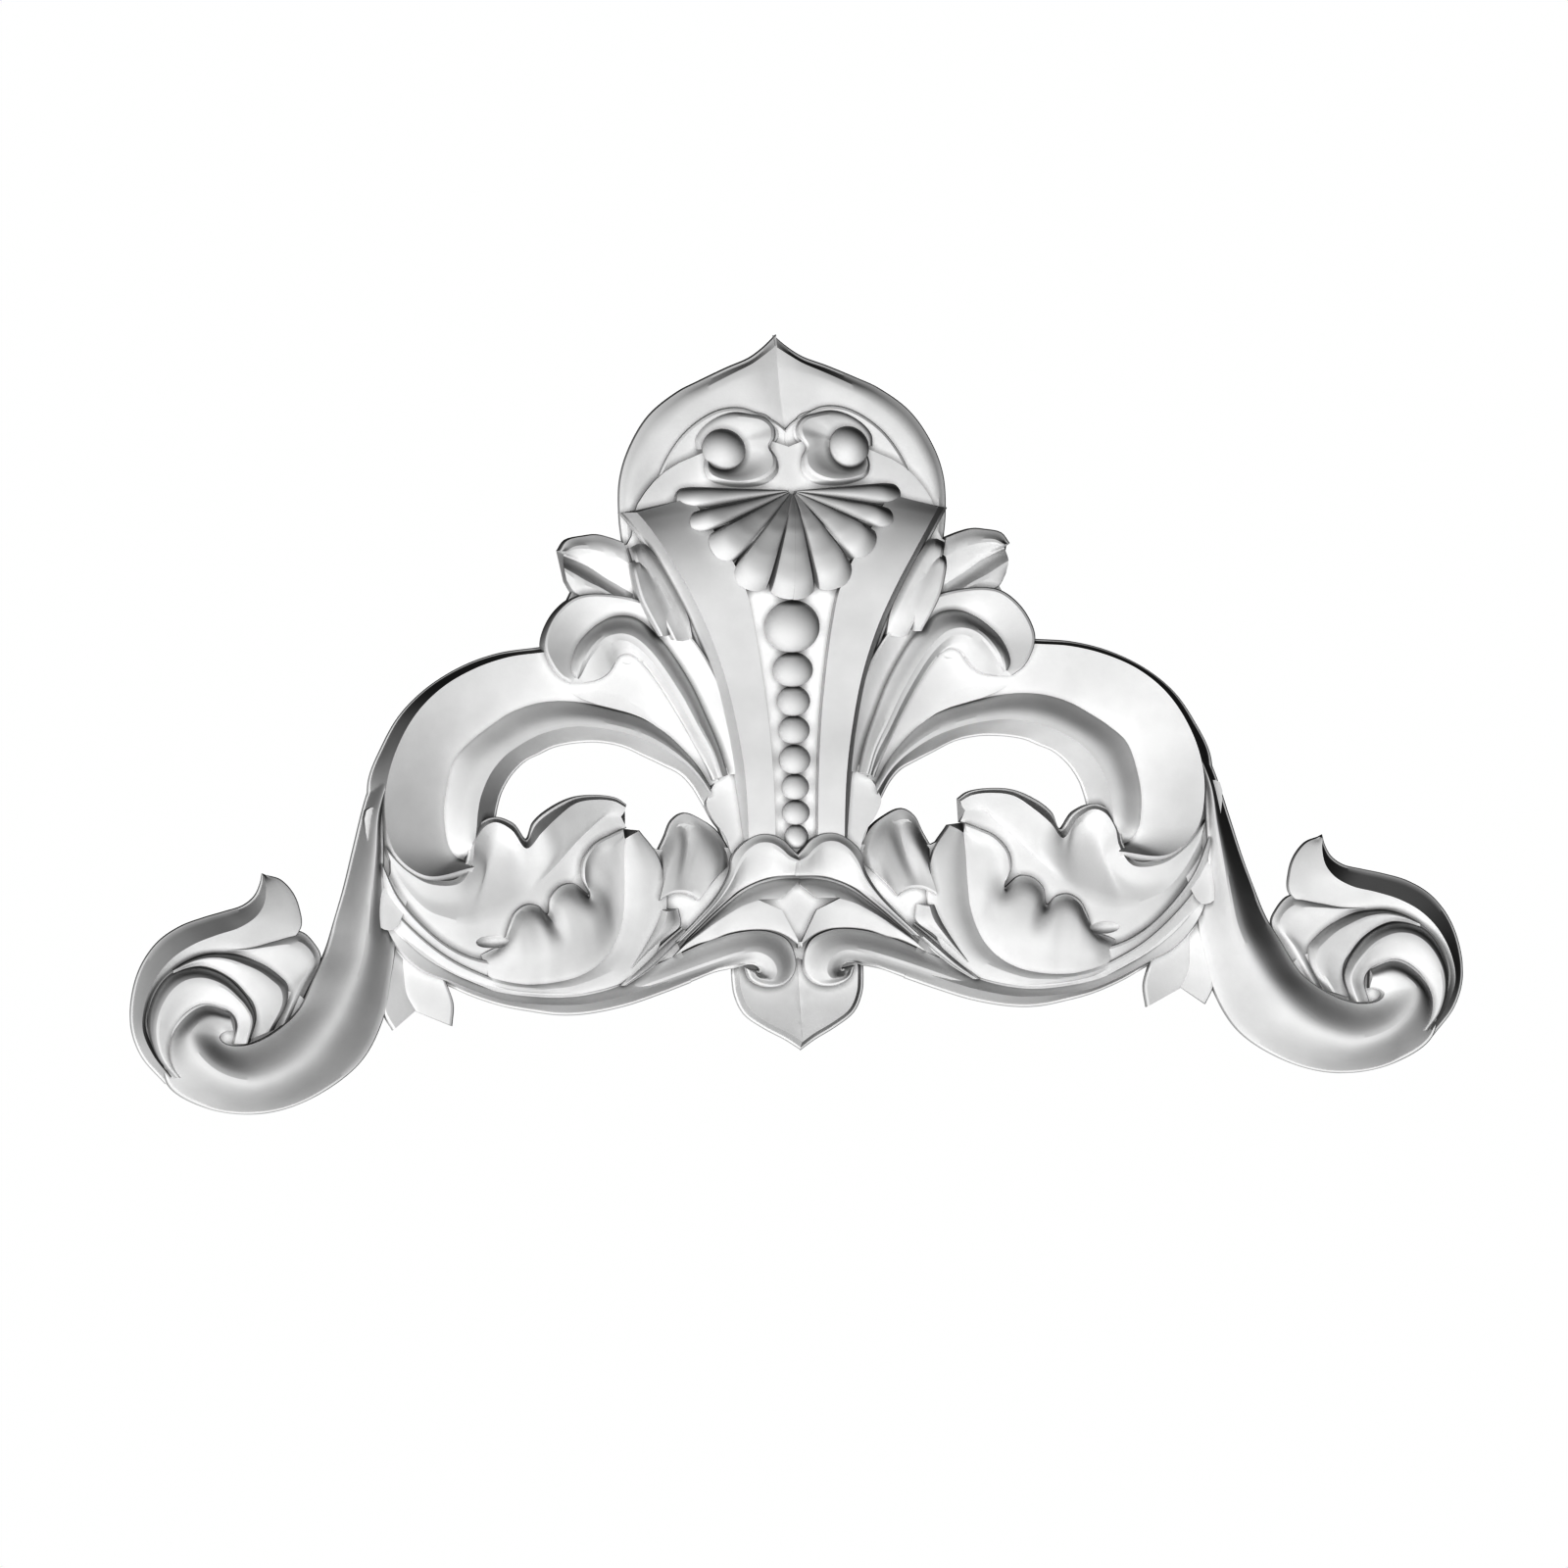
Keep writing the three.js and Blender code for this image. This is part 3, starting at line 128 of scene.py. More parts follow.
def add_solid(name, points, faces):
    """A closed mesh that faces out, kept with the other solids until they are joined."""
    mesh = bpy.data.meshes.new(name)
    mesh.from_pydata([tuple(p) for p in np.clip(points, *cad_box)], [], faces)
    work = bmesh.new()
    work.from_mesh(mesh)
    bmesh.ops.remove_doubles(work, verts=work.verts, dist=2e-6)
    bmesh.ops.dissolve_degenerate(work, edges=work.edges, dist=1e-7)
    bmesh.ops.recalc_face_normals(work, faces=work.faces)
    if work.calc_volume(signed=True) < 0:
        bmesh.ops.reverse_faces(work, faces=work.faces)
    bmesh.ops.triangulate(work, faces=[f for f in work.faces if len(f.verts) > 4])
    work.to_mesh(mesh)
    work.free()
    solids.append(bpy.data.objects.new(name, mesh))


def lofted(side, grid):
    """The corners and faces of a solid whose cross-sections are the rows of a grid."""
    rows, width = grid.shape[:2]
    faces = []
    for i in range(rows - 1):
        for j in range(width):
            k = (j + 1) % width
            faces.append((i * width + j, (i + 1) * width + j, (i + 1) * width + k, i * width + k))
    faces.append(tuple(range(width)))
    faces.append(tuple(range(rows * width - 1, (rows - 1) * width - 1, -1)))
    return place(side, grid.reshape(-1, 3)), faces


def rounded_edge(border, inner):
    """Two lines that round a form's edge over, and the border moved in to meet them."""
    inward = (inner - border) * np.array([1, 1, 0])
    gap = np.linalg.norm(inward, axis=1, keepdims=True)
    radius = np.minimum(np.minimum(ROUNDING, border[:, 2:] * EDGE_SHARE), gap * GAP_SHARE)
    inward = inward / np.maximum(gap, 1e-6) * radius
    down = np.array([0, 0, 1]) * radius
    return border - down, border + ARC_SHARE * (inward - down), border + inward


def form(side, rails, kinds=None, swells=None):
    """A skin over its rails, closed by walls down to the flat back. In kinds, a rail marked c is a
    crease or an edge, and one marked s is rounded over."""
    spans = len(rails[0]) - 1
    lengths = [np.linalg.norm(np.diff(r[:, :2], axis=0), axis=1).max() for r in rails]
    per_span = max(2, math.ceil(max(lengths) / FINE))
    lines = np.array([smooth(r, per_span) for r in rails])
    low_first, high_first, lines[0] = rounded_edge(lines[0], lines[1])
    low_last, high_last, lines[-1] = rounded_edge(lines[-1], lines[-2])
    kinds = kinds or "c" * len(rails)
    swells = swells or [0] * (len(rails) - 1)
    columns = []
    for j in range(len(rails) - 1):
        here, there = lines[j], lines[j + 1]
        chord = there - here
        start = chord if kinds[j] == "c" or j == 0 else (there - lines[j - 1]) / 2
        last = j + 2 >= len(rails)
        end = chord if kinds[j + 1] == "c" or last else (lines[j + 2] - here) / 2
        size = np.linalg.norm(chord, axis=1).mean()
        straight = kinds[j] + kinds[j + 1] == "cc" and not swells[j]
        steps = max(1 if straight else 3, math.ceil(size / FINE))
        for t in np.linspace(0, 1, steps, endpoint=False):
            point = (
                here * (2 * t**3 - 3 * t**2 + 1) + start * (t**3 - 2 * t**2 + t)
                + there * (-2 * t**3 + 3 * t**2) + end * (t**3 - t**2)
            )
            point[:, 2] += swells[j] * 4 * t * (1 - t)
            columns.append(point)
    columns.append(lines[-1])
    flat = np.array([1, 1, 0])
    columns = [low_first * flat, low_first, high_first, *columns, high_last, low_last, low_last * flat]
    grid = np.array(columns).transpose(1, 0, 2)
    grid[:, 1:-1, 2] = np.maximum(grid[:, 1:-1, 2], LEAST_RISE)
    add_solid("form", *lofted(side, grid))


def prism(name, side, outline, low, high):
    """A solid with straight walls on an outline, between two rises."""
    count = len(outline)
    lower, upper = outline.copy(), outline.copy()
    lower[:, 2], upper[:, 2] = low, high
    faces = [(i, (i + 1) % count, count + (i + 1) % count, count + i) for i in range(count)]
    faces += [tuple(range(count - 1, -1, -1)), tuple(range(count, 2 * count))]
    add_solid(name, place(side, np.vstack([lower, upper])), faces)


def plate(side, points, low, high):
    """A plate within a smooth outline."""
    prism("plate", side, smooth(rail(points, 0), 4, closed=True), low, high)


def egg(side, centre, halves, around=40):
    """A ball or egg."""
    rings = around // 2
    points = [(0, 0, 1)]
    for i in range(1, rings):
        for k in range(around):
            a, b = math.pi * i / rings, 2 * math.pi * k / around
            points.append((math.sin(a) * math.cos(b), math.sin(a) * math.sin(b), math.cos(a)))
    points.append((0, 0, -1))
    last = len(points) - 1
    faces = []
    for k in range(around):
        n = (k + 1) % around
        faces.append((0, 1 + k, 1 + n))
        faces.append((last, last - around + n, last - around + k))
        for i in range(rings - 2):
            a = 1 + i * around
            faces.append((a + k, a + around + k, a + around + n, a + n))
    points = np.array(points) * halves + centre
    points[:, 2] = np.maximum(points[:, 2], 0)
    add_solid("egg", place(side, points), faces)


def arch(side):
    """Keel arch: a thin band with a valley down its middle; the plate inside it tips down to the
    console."""
    form(side, [
        rail([[-0.2, 56.9], [1.8, 55.1], [4, 53.6], [7.5, 52.2], [12, 50.2], [15, 48.75], [19.6, 45.2],
            [22.8, 40.2], [24.3, 35.5], [24.5, 30], [24.1, 26]], [1.3, 1.5, 1.5]),
        rail([[-0.2, 53], [1.6, 52.4], [3.6, 51.6], [6.8, 50.4], [11, 48.4], [13.8, 46.8], [18, 43.2],
            [21, 38.8], [22.4, 34.8], [22.8, 29.6], [22.6, 26]], [2, 2.7, 2.5, 2.2, 1.8]),
        rail([[-0.2, 33], [1, 38], [3, 42], [5.9, 44.5], [9, 44], [11.5, 42.5], [14.5, 40], [17, 36.8],
            [18, 33.5], [18, 29], [18, 25]], [1.6, 2, 2, 1.4, 0.8]),
    ], "csc")
    form(side, [
        rail([[-0.2, 42.6], [1.2, 43.9], [3.5, 45.1], [6, 46.1], [9, 46], [12, 44.7], [15, 42.3],
            [17.5, 38.9], [19.3, 34.8], [20, 31]], [2.6, 3, 3, 2.6, 2]),
        rail([[-0.2, 33], [1, 33], [2, 33], [4, 33], [7, 32.6], [9.4, 32.4], [11.5, 32], [13.5, 31.6],
            [15, 31], [16, 30]], 0.7),
    ], "cc")


BALL = (9.4, 39.9)
RING_RADIUS = 2.2
RING_RISE = 3.4
RING_DEGREES = [
    -48, -58, -76, -102, -123, -142, -159, -175, -191, -206, -217, -226, -234, -246, -266, -291, -322, -356,
]


def ball_ring():
    """The petal's inner line, a ring under the ball, on tenths of a unit as the other lines are."""
    angles = np.radians(RING_DEGREES)
    ring = BALL + RING_RADIUS * np.column_stack([np.cos(angles), np.sin(angles)])
    return rail(np.round(ring, 1), RING_RISE)


def petal(side):
    """Petal under the arch: a dished lobe that rolls up round a ball."""
    form(side, [
        rail([[13, 38.4], [13, 36.6], [12.3, 35], [9.5, 33.8], [6, 33.5], [3, 34.1], [1.2, 35.8],
            [1.2, 38], [2.2, 39.9], [1.1, 41.5], [1.1, 43], [2.4, 44.9], [4.8, 45.7], [7.3, 46.2],
            [10, 45.6], [12.6, 44], [13.8, 42], [13.6, 40]],
            [2.6, 3, 3, 3, 3, 3, 3, 3, 2.6, 2.8, 2.8, 2.6, 2.4, 2.4, 2.2, 2, 2, 2.2]),
        rail([[11.9, 38.4], [12, 37.2], [11.4, 36.1], [9.3, 35.3], [6.4, 35.2], [4, 36], [2.8, 37.2],
            [2.6, 38.7], [3.1, 40.2], [2.5, 41.6], [2.4, 43], [3.4, 44.1], [5.2, 44.6], [7.4, 44.8],
            [9.6, 44.4], [11.6, 43.2], [12.8, 41.6], [12.8, 40]],
            [4.4, 5.2, 5.8, 6, 6, 6, 5.8, 5.4, 5, 5, 4.6, 4.4, 4.2, 3.8, 3.4, 3.2, 3.2, 3.6]),
        ball_ring(),
    ], "csc")
    egg(side, [*BALL, 3.6], [3.1, 3.1, 3.4])


def cheek(side):
    """Two stepped panels fill each cheek outside the console, falling towards it."""
    form(side, [
        rail([[23.6, 25.4], [23.2, 24], [22.6, 21.6], [21.4, 18.5], [19.4, 15], [17.6, 11.6]],
            [7.4, 9.4, 9.8, 9.8, 9.6, 9]),
        rail([[22.4, 26], [21.8, 24.8], [20.4, 22.2], [18.9, 19], [17.2, 15.6], [16.2, 11.4]],
            [7, 8.8, 9, 9, 8.8, 8.2]),
        rail([[21, 26], [20.2, 24.8], [18.4, 22.2], [16.6, 18.7], [15, 15], [14.4, 11.8]],
            [6.6, 7.6, 7.8, 7.8, 7.6, 7.2]),
    ], "ccc")
    form(side, [
        rail([[23.6, 23.2], [23.5, 22], [23.2, 20.4], [22.5, 17.8], [21.1, 14.9], [19.6, 12.2]],
            [8.8, 10.6, 11, 11, 10.6, 9.6]),
        rail([[22.7, 23.9], [22.4, 22.8], [21.8, 21], [20.5, 18], [19.2, 14.9], [18.6, 12.2]],
            [8.6, 10.2, 10.4, 10.4, 10, 9]),
        rail([[21.7, 23.7], [21, 22.6], [19.9, 20.8], [18.4, 18.2], [17.4, 15.4], [17.5, 12.6]],
            [8, 9, 9.2, 9.2, 9, 8.2]),
    ], "ccc")


def ear(side):
    """Ear leaf: a rounded upper edge, a face that falls to a valley, and a folded edge below it."""
    form(side, [
        rail([[33.8, 25.2], [32.6, 26.8], [30, 27.4], [28.3, 27.55], [26.4, 27.1], [24.2, 26.3]], 4.6),
        rail([[32.8, 25], [31.2, 25.4], [29.2, 25.3], [27.4, 24.9], [25.6, 24.3], [23.4, 23]], 5.4),
        rail([[33.1, 24.4], [31.2, 23.6], [29.2, 22.6], [27.2, 21.2], [25.2, 20], [22.9, 18.6]], 3.6),
        rail([[33.3, 22.6], [31.6, 21.6], [30, 20.6], [28, 19.6], [26, 18.4], [23.8, 17]], 6.2),
        rail([[32.9, 20.6], [31.8, 18.8], [30, 18], [28, 17.6], [26, 17], [23.4, 15.8]], 5.8),
    ], "csssc")


def flute(side):
    """Fluted band from the hooked lobe over the C scroll, round the cheek and down beside the
    console."""
    form(side, [
        rail([[33.1, 5.4], [34.8, 6.6], [36.1, 8.6], [36.8, 11], [36.2, 13.5], [34.4, 16.3],
            [31.6, 18.3], [27, 18.6], [20.6, 17], [14.9, 12.3], [11.2, 6.6], [9.4, 1.6], [8.2, -3.2],
            [7.2, -8.4]], [7.6, 7.8, 7.8, 7.6, 7.4, 7.2, 7.4, 7.6, 7.6, 7.4, 7.2, 6.8, 6.6, 6.2]),
        rail([[32.4, 6.2], [32.9, 7.2], [32.8, 8.6], [32.3, 10], [31.5, 11.4], [30.2, 12.8],
            [28.4, 14.2], [25.8, 15.3], [22.8, 15], [19.2, 12], [15, 5.6], [12.7, 0.4], [11, -4],
            [9.7, -8.6]], [7.6, 7.4, 7, 6.5, 6, 5.6, 5.3, 5, 4.8, 4.6, 4.4, 4.3, 4.3, 4.3]),
        rail([[31.8, 6], [31.2, 7], [30.6, 8.2], [29.8, 9.4], [28.8, 10.6], [27.8, 11.5], [26.6, 12.1],
            [25, 12.2], [23.4, 11.6], [21, 9.4], [17, 3.4], [14.4, -1.6], [12.4, -5.4], [11.2, -9]],
            [7.4, 7.8, 8.2, 8.6, 8.8, 8.9, 9, 8.8, 8.6, 8.2, 7.8, 7.4, 7, 6.6]),
        rail([[31, 5.4], [30, 5.5], [28.6, 5.9], [27.6, 6.5], [26.9, 7.2], [26.2, 8.3], [25.4, 9.3],
            [24, 9.6], [22.4, 8.6], [20.5, 6.2], [16.9, 0.2], [14.4, -4.6], [12.9, -7.6], [12.2, -9.4]],
            [7.2, 7.4, 7.6, 7.6, 7.6, 7.4, 7.2, 7, 6.6, 6.2, 5.6, 5.4, 5.4, 5.4]),
    ], "ccsc", [0, 0.9, 0])


def scroll(side):
    """C scroll: outer wall, face falling to a valley, a bevel up to the thin rim and the wall of
    the opening."""
    valley = rail([[49.6, -20.3], [50.6, -19.8], [51.7, -18.2], [52.3, -14], [51.9, -10], [50.4, -5.2],
        [47.8, -2.6], [45, -0.6], [42, 1.2], [38.5, 2.4], [35, 2.8], [31, 2.5], [27, 1.6], [22.5, 0.2],
        [19, -2], [16, -4.9], [14, -7.4], [12.4, -10.2]],
        [2, 2.4, 3, 3.2, 3.2, 3.2, 3.2, 3.2, 3.2, 3.2, 3.2, 3.2, 3.2, 3.4, 3.6, 3.8, 4, 4])
    thin_rim = rail([[47.9, -17.6], [47.8, -16.6], [47.7, -15.6], [47.4, -13], [46.8, -10.6],
        [45.2, -7.4], [43, -5], [40.5, -3.4], [38, -2.2], [35.5, -1.5], [33, -1.1], [30, -1.2],
        [26, -1.9], [22, -3.2], [19, -4.8], [16, -7], [14.3, -8.8], [12.4, -11.6]],
        [4.8, 5.8, 6.2, 6.2, 6.2, 6, 5.8])
    form(side, [
        rail([[49, -23], [56.5, -23.8], [61.5, -20], [63, -14.5], [63.3, -8], [61, -2.6], [58.2, 1.8],
            [54, 5.6], [48.5, 8.6], [43, 10.25], [37, 10.9], [32, 11.6], [27, 12], [22, 10.4],
            [17.8, 5.2], [14.8, 0], [12.2, -5], [10.5, -9]],
            [4.5, 4.5, 4.5, 2, EDGE, EDGE, EDGE, EDGE, EDGE, EDGE, EDGE, EDGE, EDGE, EDGE, EDGE, EDGE,
            EDGE, EDGE]),
        rail([[48.3, -21.4], [55.5, -22.3], [60, -18.8], [61.4, -13.5], [61, -8], [59, -2.4], [56, 2.2],
            [52, 5.7], [47, 8.2], [42, 9.6], [37, 10.1], [32, 10.6], [27, 10.8], [22.4, 9.2],
            [18.4, 4.4], [15.4, -0.6], [12.8, -5.4], [11.2, -9.4]],
            [6.2, 6.9, 7, 7, 7, 7, 6.8, 6.6, 6.4, 6.2, 5.8, 5.4, 5, 4.8, 4.8, 4.8, 4.8, 4.8]),
        valley,
        between(valley, thin_rim, 0.6, 0.9),
        thin_rim,
        rail([[44.8, -16.6], [44.6, -15.6], [44.4, -14.6], [43.9, -12.4], [43.2, -10.4], [41.6, -7.9],
            [39.5, -6], [37.3, -5], [35.5, -4.2], [33.2, -3.7], [31, -3.5], [28.6, -3.5], [25, -4.2],
            [21.4, -5.9], [19, -7.1], [16.6, -8.4], [15, -10.1], [13, -13.6]], EDGE),
    ], "cccscc")


def spandrel(side):
    """The foot of the opening, where the scroll meets the heart."""
    plate(side, [[13.1, -12.5], [12.3, -15], [10.4, -17.8], [9.4, -20.5], [6, -16], [7, -10], [9, -7]],
        0, 4.4)


def stem(side):
    """Stem: a convex band that leaves the C scroll, runs out and down and curls inside the tail."""
    form(side, [
        rail([[62.3, -6.4], [64, -11], [65.9, -17.6], [67.6, -23.6], [69.2, -28.4], [70.6, -32.4],
            [72.6, -36.4], [75.3, -41.2], [79, -44.2], [82, -45.6], [84.2, -46], [86, -45.8],
            [87, -45.2], [87.2, -44.6], [86.9, -44.2], [86.2, -43.9], [85.2, -43.8]],
            [EDGE, EDGE, EDGE, EDGE, EDGE, 1.6, 3.4, 4.8, 5.8, 6.4, 6.8, 7, 7, 7, 7, 7, 6.6]),
        rail([[60.9, -7.4], [62.6, -12.4], [63.3, -18], [64.1, -23.4], [64.8, -28.6], [65.6, -33.4],
            [67.2, -37.8], [69.8, -42.8], [73.6, -47.6], [78.4, -50.7], [83, -51.8], [88, -50.3],
            [91.4, -47], [92, -44.2], [90.6, -42.4], [88.4, -41.4], [85.6, -42]],
            [6.4, 6.6, 6.8, 7, 7.4, 7.8, 8.2, 8.8, 9.2, 9.6, 9.8, 10, 10, 9.8, 9.4, 8.6, 7.2]),
        rail([[60.3, -9], [61.4, -13], [61.6, -18], [61.7, -23], [61.3, -27.6], [60.2, -31.6],
            [61, -37.4], [62.4, -43.3], [66, -49.5], [73.5, -54.5], [81, -56.4], [89, -55.3],
            [94.9, -51.5], [95.2, -45.4], [92.6, -41.2], [89.4, -39.5], [85.4, -40.5]],
            [5, 5.6, 5.4, 5, 3, 2.4, 2.2, 2, 1.6, EDGE, EDGE, EDGE, 2.4, 4.8, 5.2, 5.2, 5]),
    ], "csc")


def tail(side):
    """Tail: three fingers outside the curl of the stem, each rising steeply inside its edge, and a
    root lobe."""
    form(side, [
        rail([[79.6, -20.6], [80, -22.2], [80.9, -23.9], [82.6, -25.2], [85.4, -26], [88.6, -26.8],
            [92.2, -28], [95.6, -30.2], [98.3, -33.8], [99.8, -38.4], [100, -43], [98.6, -47.2],
            [95.2, -51.4]], EDGE),
        rail([[79.4, -21.1], [79.3, -23.2], [79.7, -25.2], [81, -27], [83.5, -28.5], [87, -29.5],
            [90.4, -30.7], [93.6, -32.6], [96.2, -35.4], [98, -39.2], [98.5, -43.2], [97.1, -46.9],
            [94.6, -50.4]], [2.6, 3.6, 3.8, 3.8, 3.6]),
        rail([[79, -20.9], [77, -21.6], [75.2, -23.6], [74.3, -26], [74.2, -29], [78, -32.4],
            [84, -32.2], [89.4, -32.4], [93.8, -34.6], [96.6, -37.8], [97.6, -42.4], [96.2, -46.4],
            [94, -49.6]], [2, 2.2, 2.4, 2.4, 2.4]),
    ], "ccc")
    form(side, [
        rail([[76.4, -43.2], [73.4, -38], [71.3, -33.6], [72.2, -31.4], [74.2, -29.5], [77.5, -29.9],
            [81.5, -30.7], [86, -31.4]], [2.8, 2.4, 1.8, 1.8, 1.8, 1.8, 1.8, 1.8]),
        rail([[77.4, -43.2], [74.8, -37.6], [73, -34.2], [73.9, -32.4], [75.8, -31.4], [78.8, -31.5],
            [82, -31.8], [86.2, -31.8]], [3.4, 3.2, 2.8, 2.9, 3.3, 3.4, 3.1, 2.6]),
        rail([[79, -43.8], [76.8, -38.6], [76.8, -37.2], [77.8, -36.2], [79.4, -34.8], [81.8, -33.4],
            [84.4, -32.4], [87, -32.2]], [2.8, 2.3, 2.2]),
    ], "csc")
    form(side, [
        rail([[78, -43.8], [75.9, -39.6], [75.9, -37], [77.3, -35.4], [79.3, -33.9], [82, -32.6],
            [85, -31.8], [88.2, -31.8], [91.2, -32.7], [93.8, -34.2]], 1.8),
        rail([[79.8, -44.2], [77.6, -40], [77.8, -37.9], [79.1, -36.5], [80.9, -35.1], [83.1, -34],
            [85.5, -33.1], [88.2, -32.8], [90.8, -33.3], [93.6, -34.5]], [4.6, 4.7, 4.6, 4.2, 3]),
        rail([[82.6, -45.2], [81.6, -42], [82, -39.8], [83, -38.4], [84.3, -36.8], [85.8, -35.6],
            [87.6, -34.6], [89.4, -34.1], [91.4, -34.3], [93.6, -35]], [4, 3.6, 3]),
    ], "csc")
    form(side, [
        rail([[82, -45.4], [81.2, -41.6], [82, -39.2], [83.4, -37.2], [85.3, -35.3], [87.3, -34.2],
            [89.5, -33.6], [92, -33.8], [94.4, -34.8], [96.4, -37.1], [97.8, -40.4], [98, -43.8],
            [97, -47.2], [94.6, -50.6]], [3, 2.8, 2.4, 2, 1.8]),
        rail([[83.2, -45.8], [82.3, -42.2], [83.1, -40.3], [84.4, -38.7], [86, -37.2], [87.8, -36.2],
            [89.8, -35.7], [92, -36], [93.9, -37.2], [95.5, -39.3], [96.5, -41.9], [96.6, -44.8],
            [95.7, -47.8], [93.8, -50.4]], [6.2, 6.5, 6.4, 6, 4.8]),
        rail([[85.2, -45.8], [84.6, -43], [85, -41.7], [85.8, -40.9], [86.8, -40.4], [87.9, -40.1],
            [89.2, -40], [90.6, -40.4], [91.9, -41.4], [93, -43], [93.7, -45], [93.8, -47], [93.2, -49],
            [92, -50.8]], [5.6, 5.2, 5, 4.8, 4.4]),
    ], "csc")


def lip_leaf(side):
    """Lip leaf: a small dished lobe and a long lobe that stand up over the opening."""
    form(side, [
        rail([[61.5, -17.6], [58.8, -20.4], [55, -22.6], [51, -22.9], [49.3, -20.4], [48.7, -17.3],
            [47, -14.8], [44.8, -14.1], [42, -15.2], [40, -17.6], [38.9, -15.2], [36.5, -13.2],
            [33, -11.6], [29.5, -11.3], [26.4, -11.8], [24.9, -12.8]],
            [6.4, 6.2, 5.6, 5, 4.4, 4.4, 4.4, 4.4, 4, 2.4, 3, 4, 4.2, 3.8, 3.2, 2.8]),
        rail([[61.2, -18.4], [58.7, -21.2], [54.8, -23.6], [50.4, -23.6], [48.5, -20.6], [48, -17.9],
            [46.6, -15.6], [44.8, -14.9], [42.4, -16.2], [40.3, -19], [38.1, -16.7], [35.8, -14.6],
            [32.8, -12.5], [29.6, -12], [26.8, -12.3], [25.1, -13.2]],
            [6.5, 6.4, 6, 5.6, 5.4, 5.2, 5.2, 5.2, 5, 4.4, 7, 6.8, 6, 5, 4, 3.4]),
        rail([[60.8, -19.8], [58.5, -22.8], [54.8, -25.8], [50.4, -26], [47, -23], [46, -20.4],
            [45, -18.6], [43.6, -17.8], [42, -19], [40.2, -21.8], [37, -20.4], [34.6, -18.2],
            [31.8, -15.9], [29.4, -14.4], [27.2, -13.6], [25.3, -13.9]],
            [6.2, 5.8, 5.2, 4.6, 3.9, 3.2, 2.9, 2.9, 3.2, 4.2, 5.5, 5.3, 4.8, 4.2, 3.6, 3.2]),
        rail([[60.4, -20.8], [58.4, -24.2], [55.4, -27.4], [52, -28.9], [50, -29.4], [48.3, -29.4],
            [46.5, -28.9], [44.5, -28.2], [42.5, -27.1], [40.5, -25.7], [38.5, -24], [36, -21.8],
            [33.3, -18.9], [30.5, -16.3], [28.3, -14.6], [25.8, -14.6]],
            [6, 5.6, 5.2, 5, 4.8, 4.6, 4.5, 4.4, 4.3, 4.2, 4.1, 4, 3.8, 3.5, 3.2, 3]),
        rail([[61.2, -22.4], [59.4, -26], [56.4, -29.8], [53.4, -32.4], [50.8, -34], [48.6, -35],
            [46.5, -35.4], [44.3, -35.2], [42, -34.2], [39.6, -32], [37.4, -29.4], [34.6, -26],
            [31.6, -22.6], [28.6, -19], [26.6, -16.9], [25, -16.3]],
            [4.8, 4.2, 3.8, 3.6, 3.4, 3.3, 3.2, 3.2, 3.2, 3.2, 3.2, 3.2, 3.2, 3.1, 3, 2.8]),
    ], "ccscc")


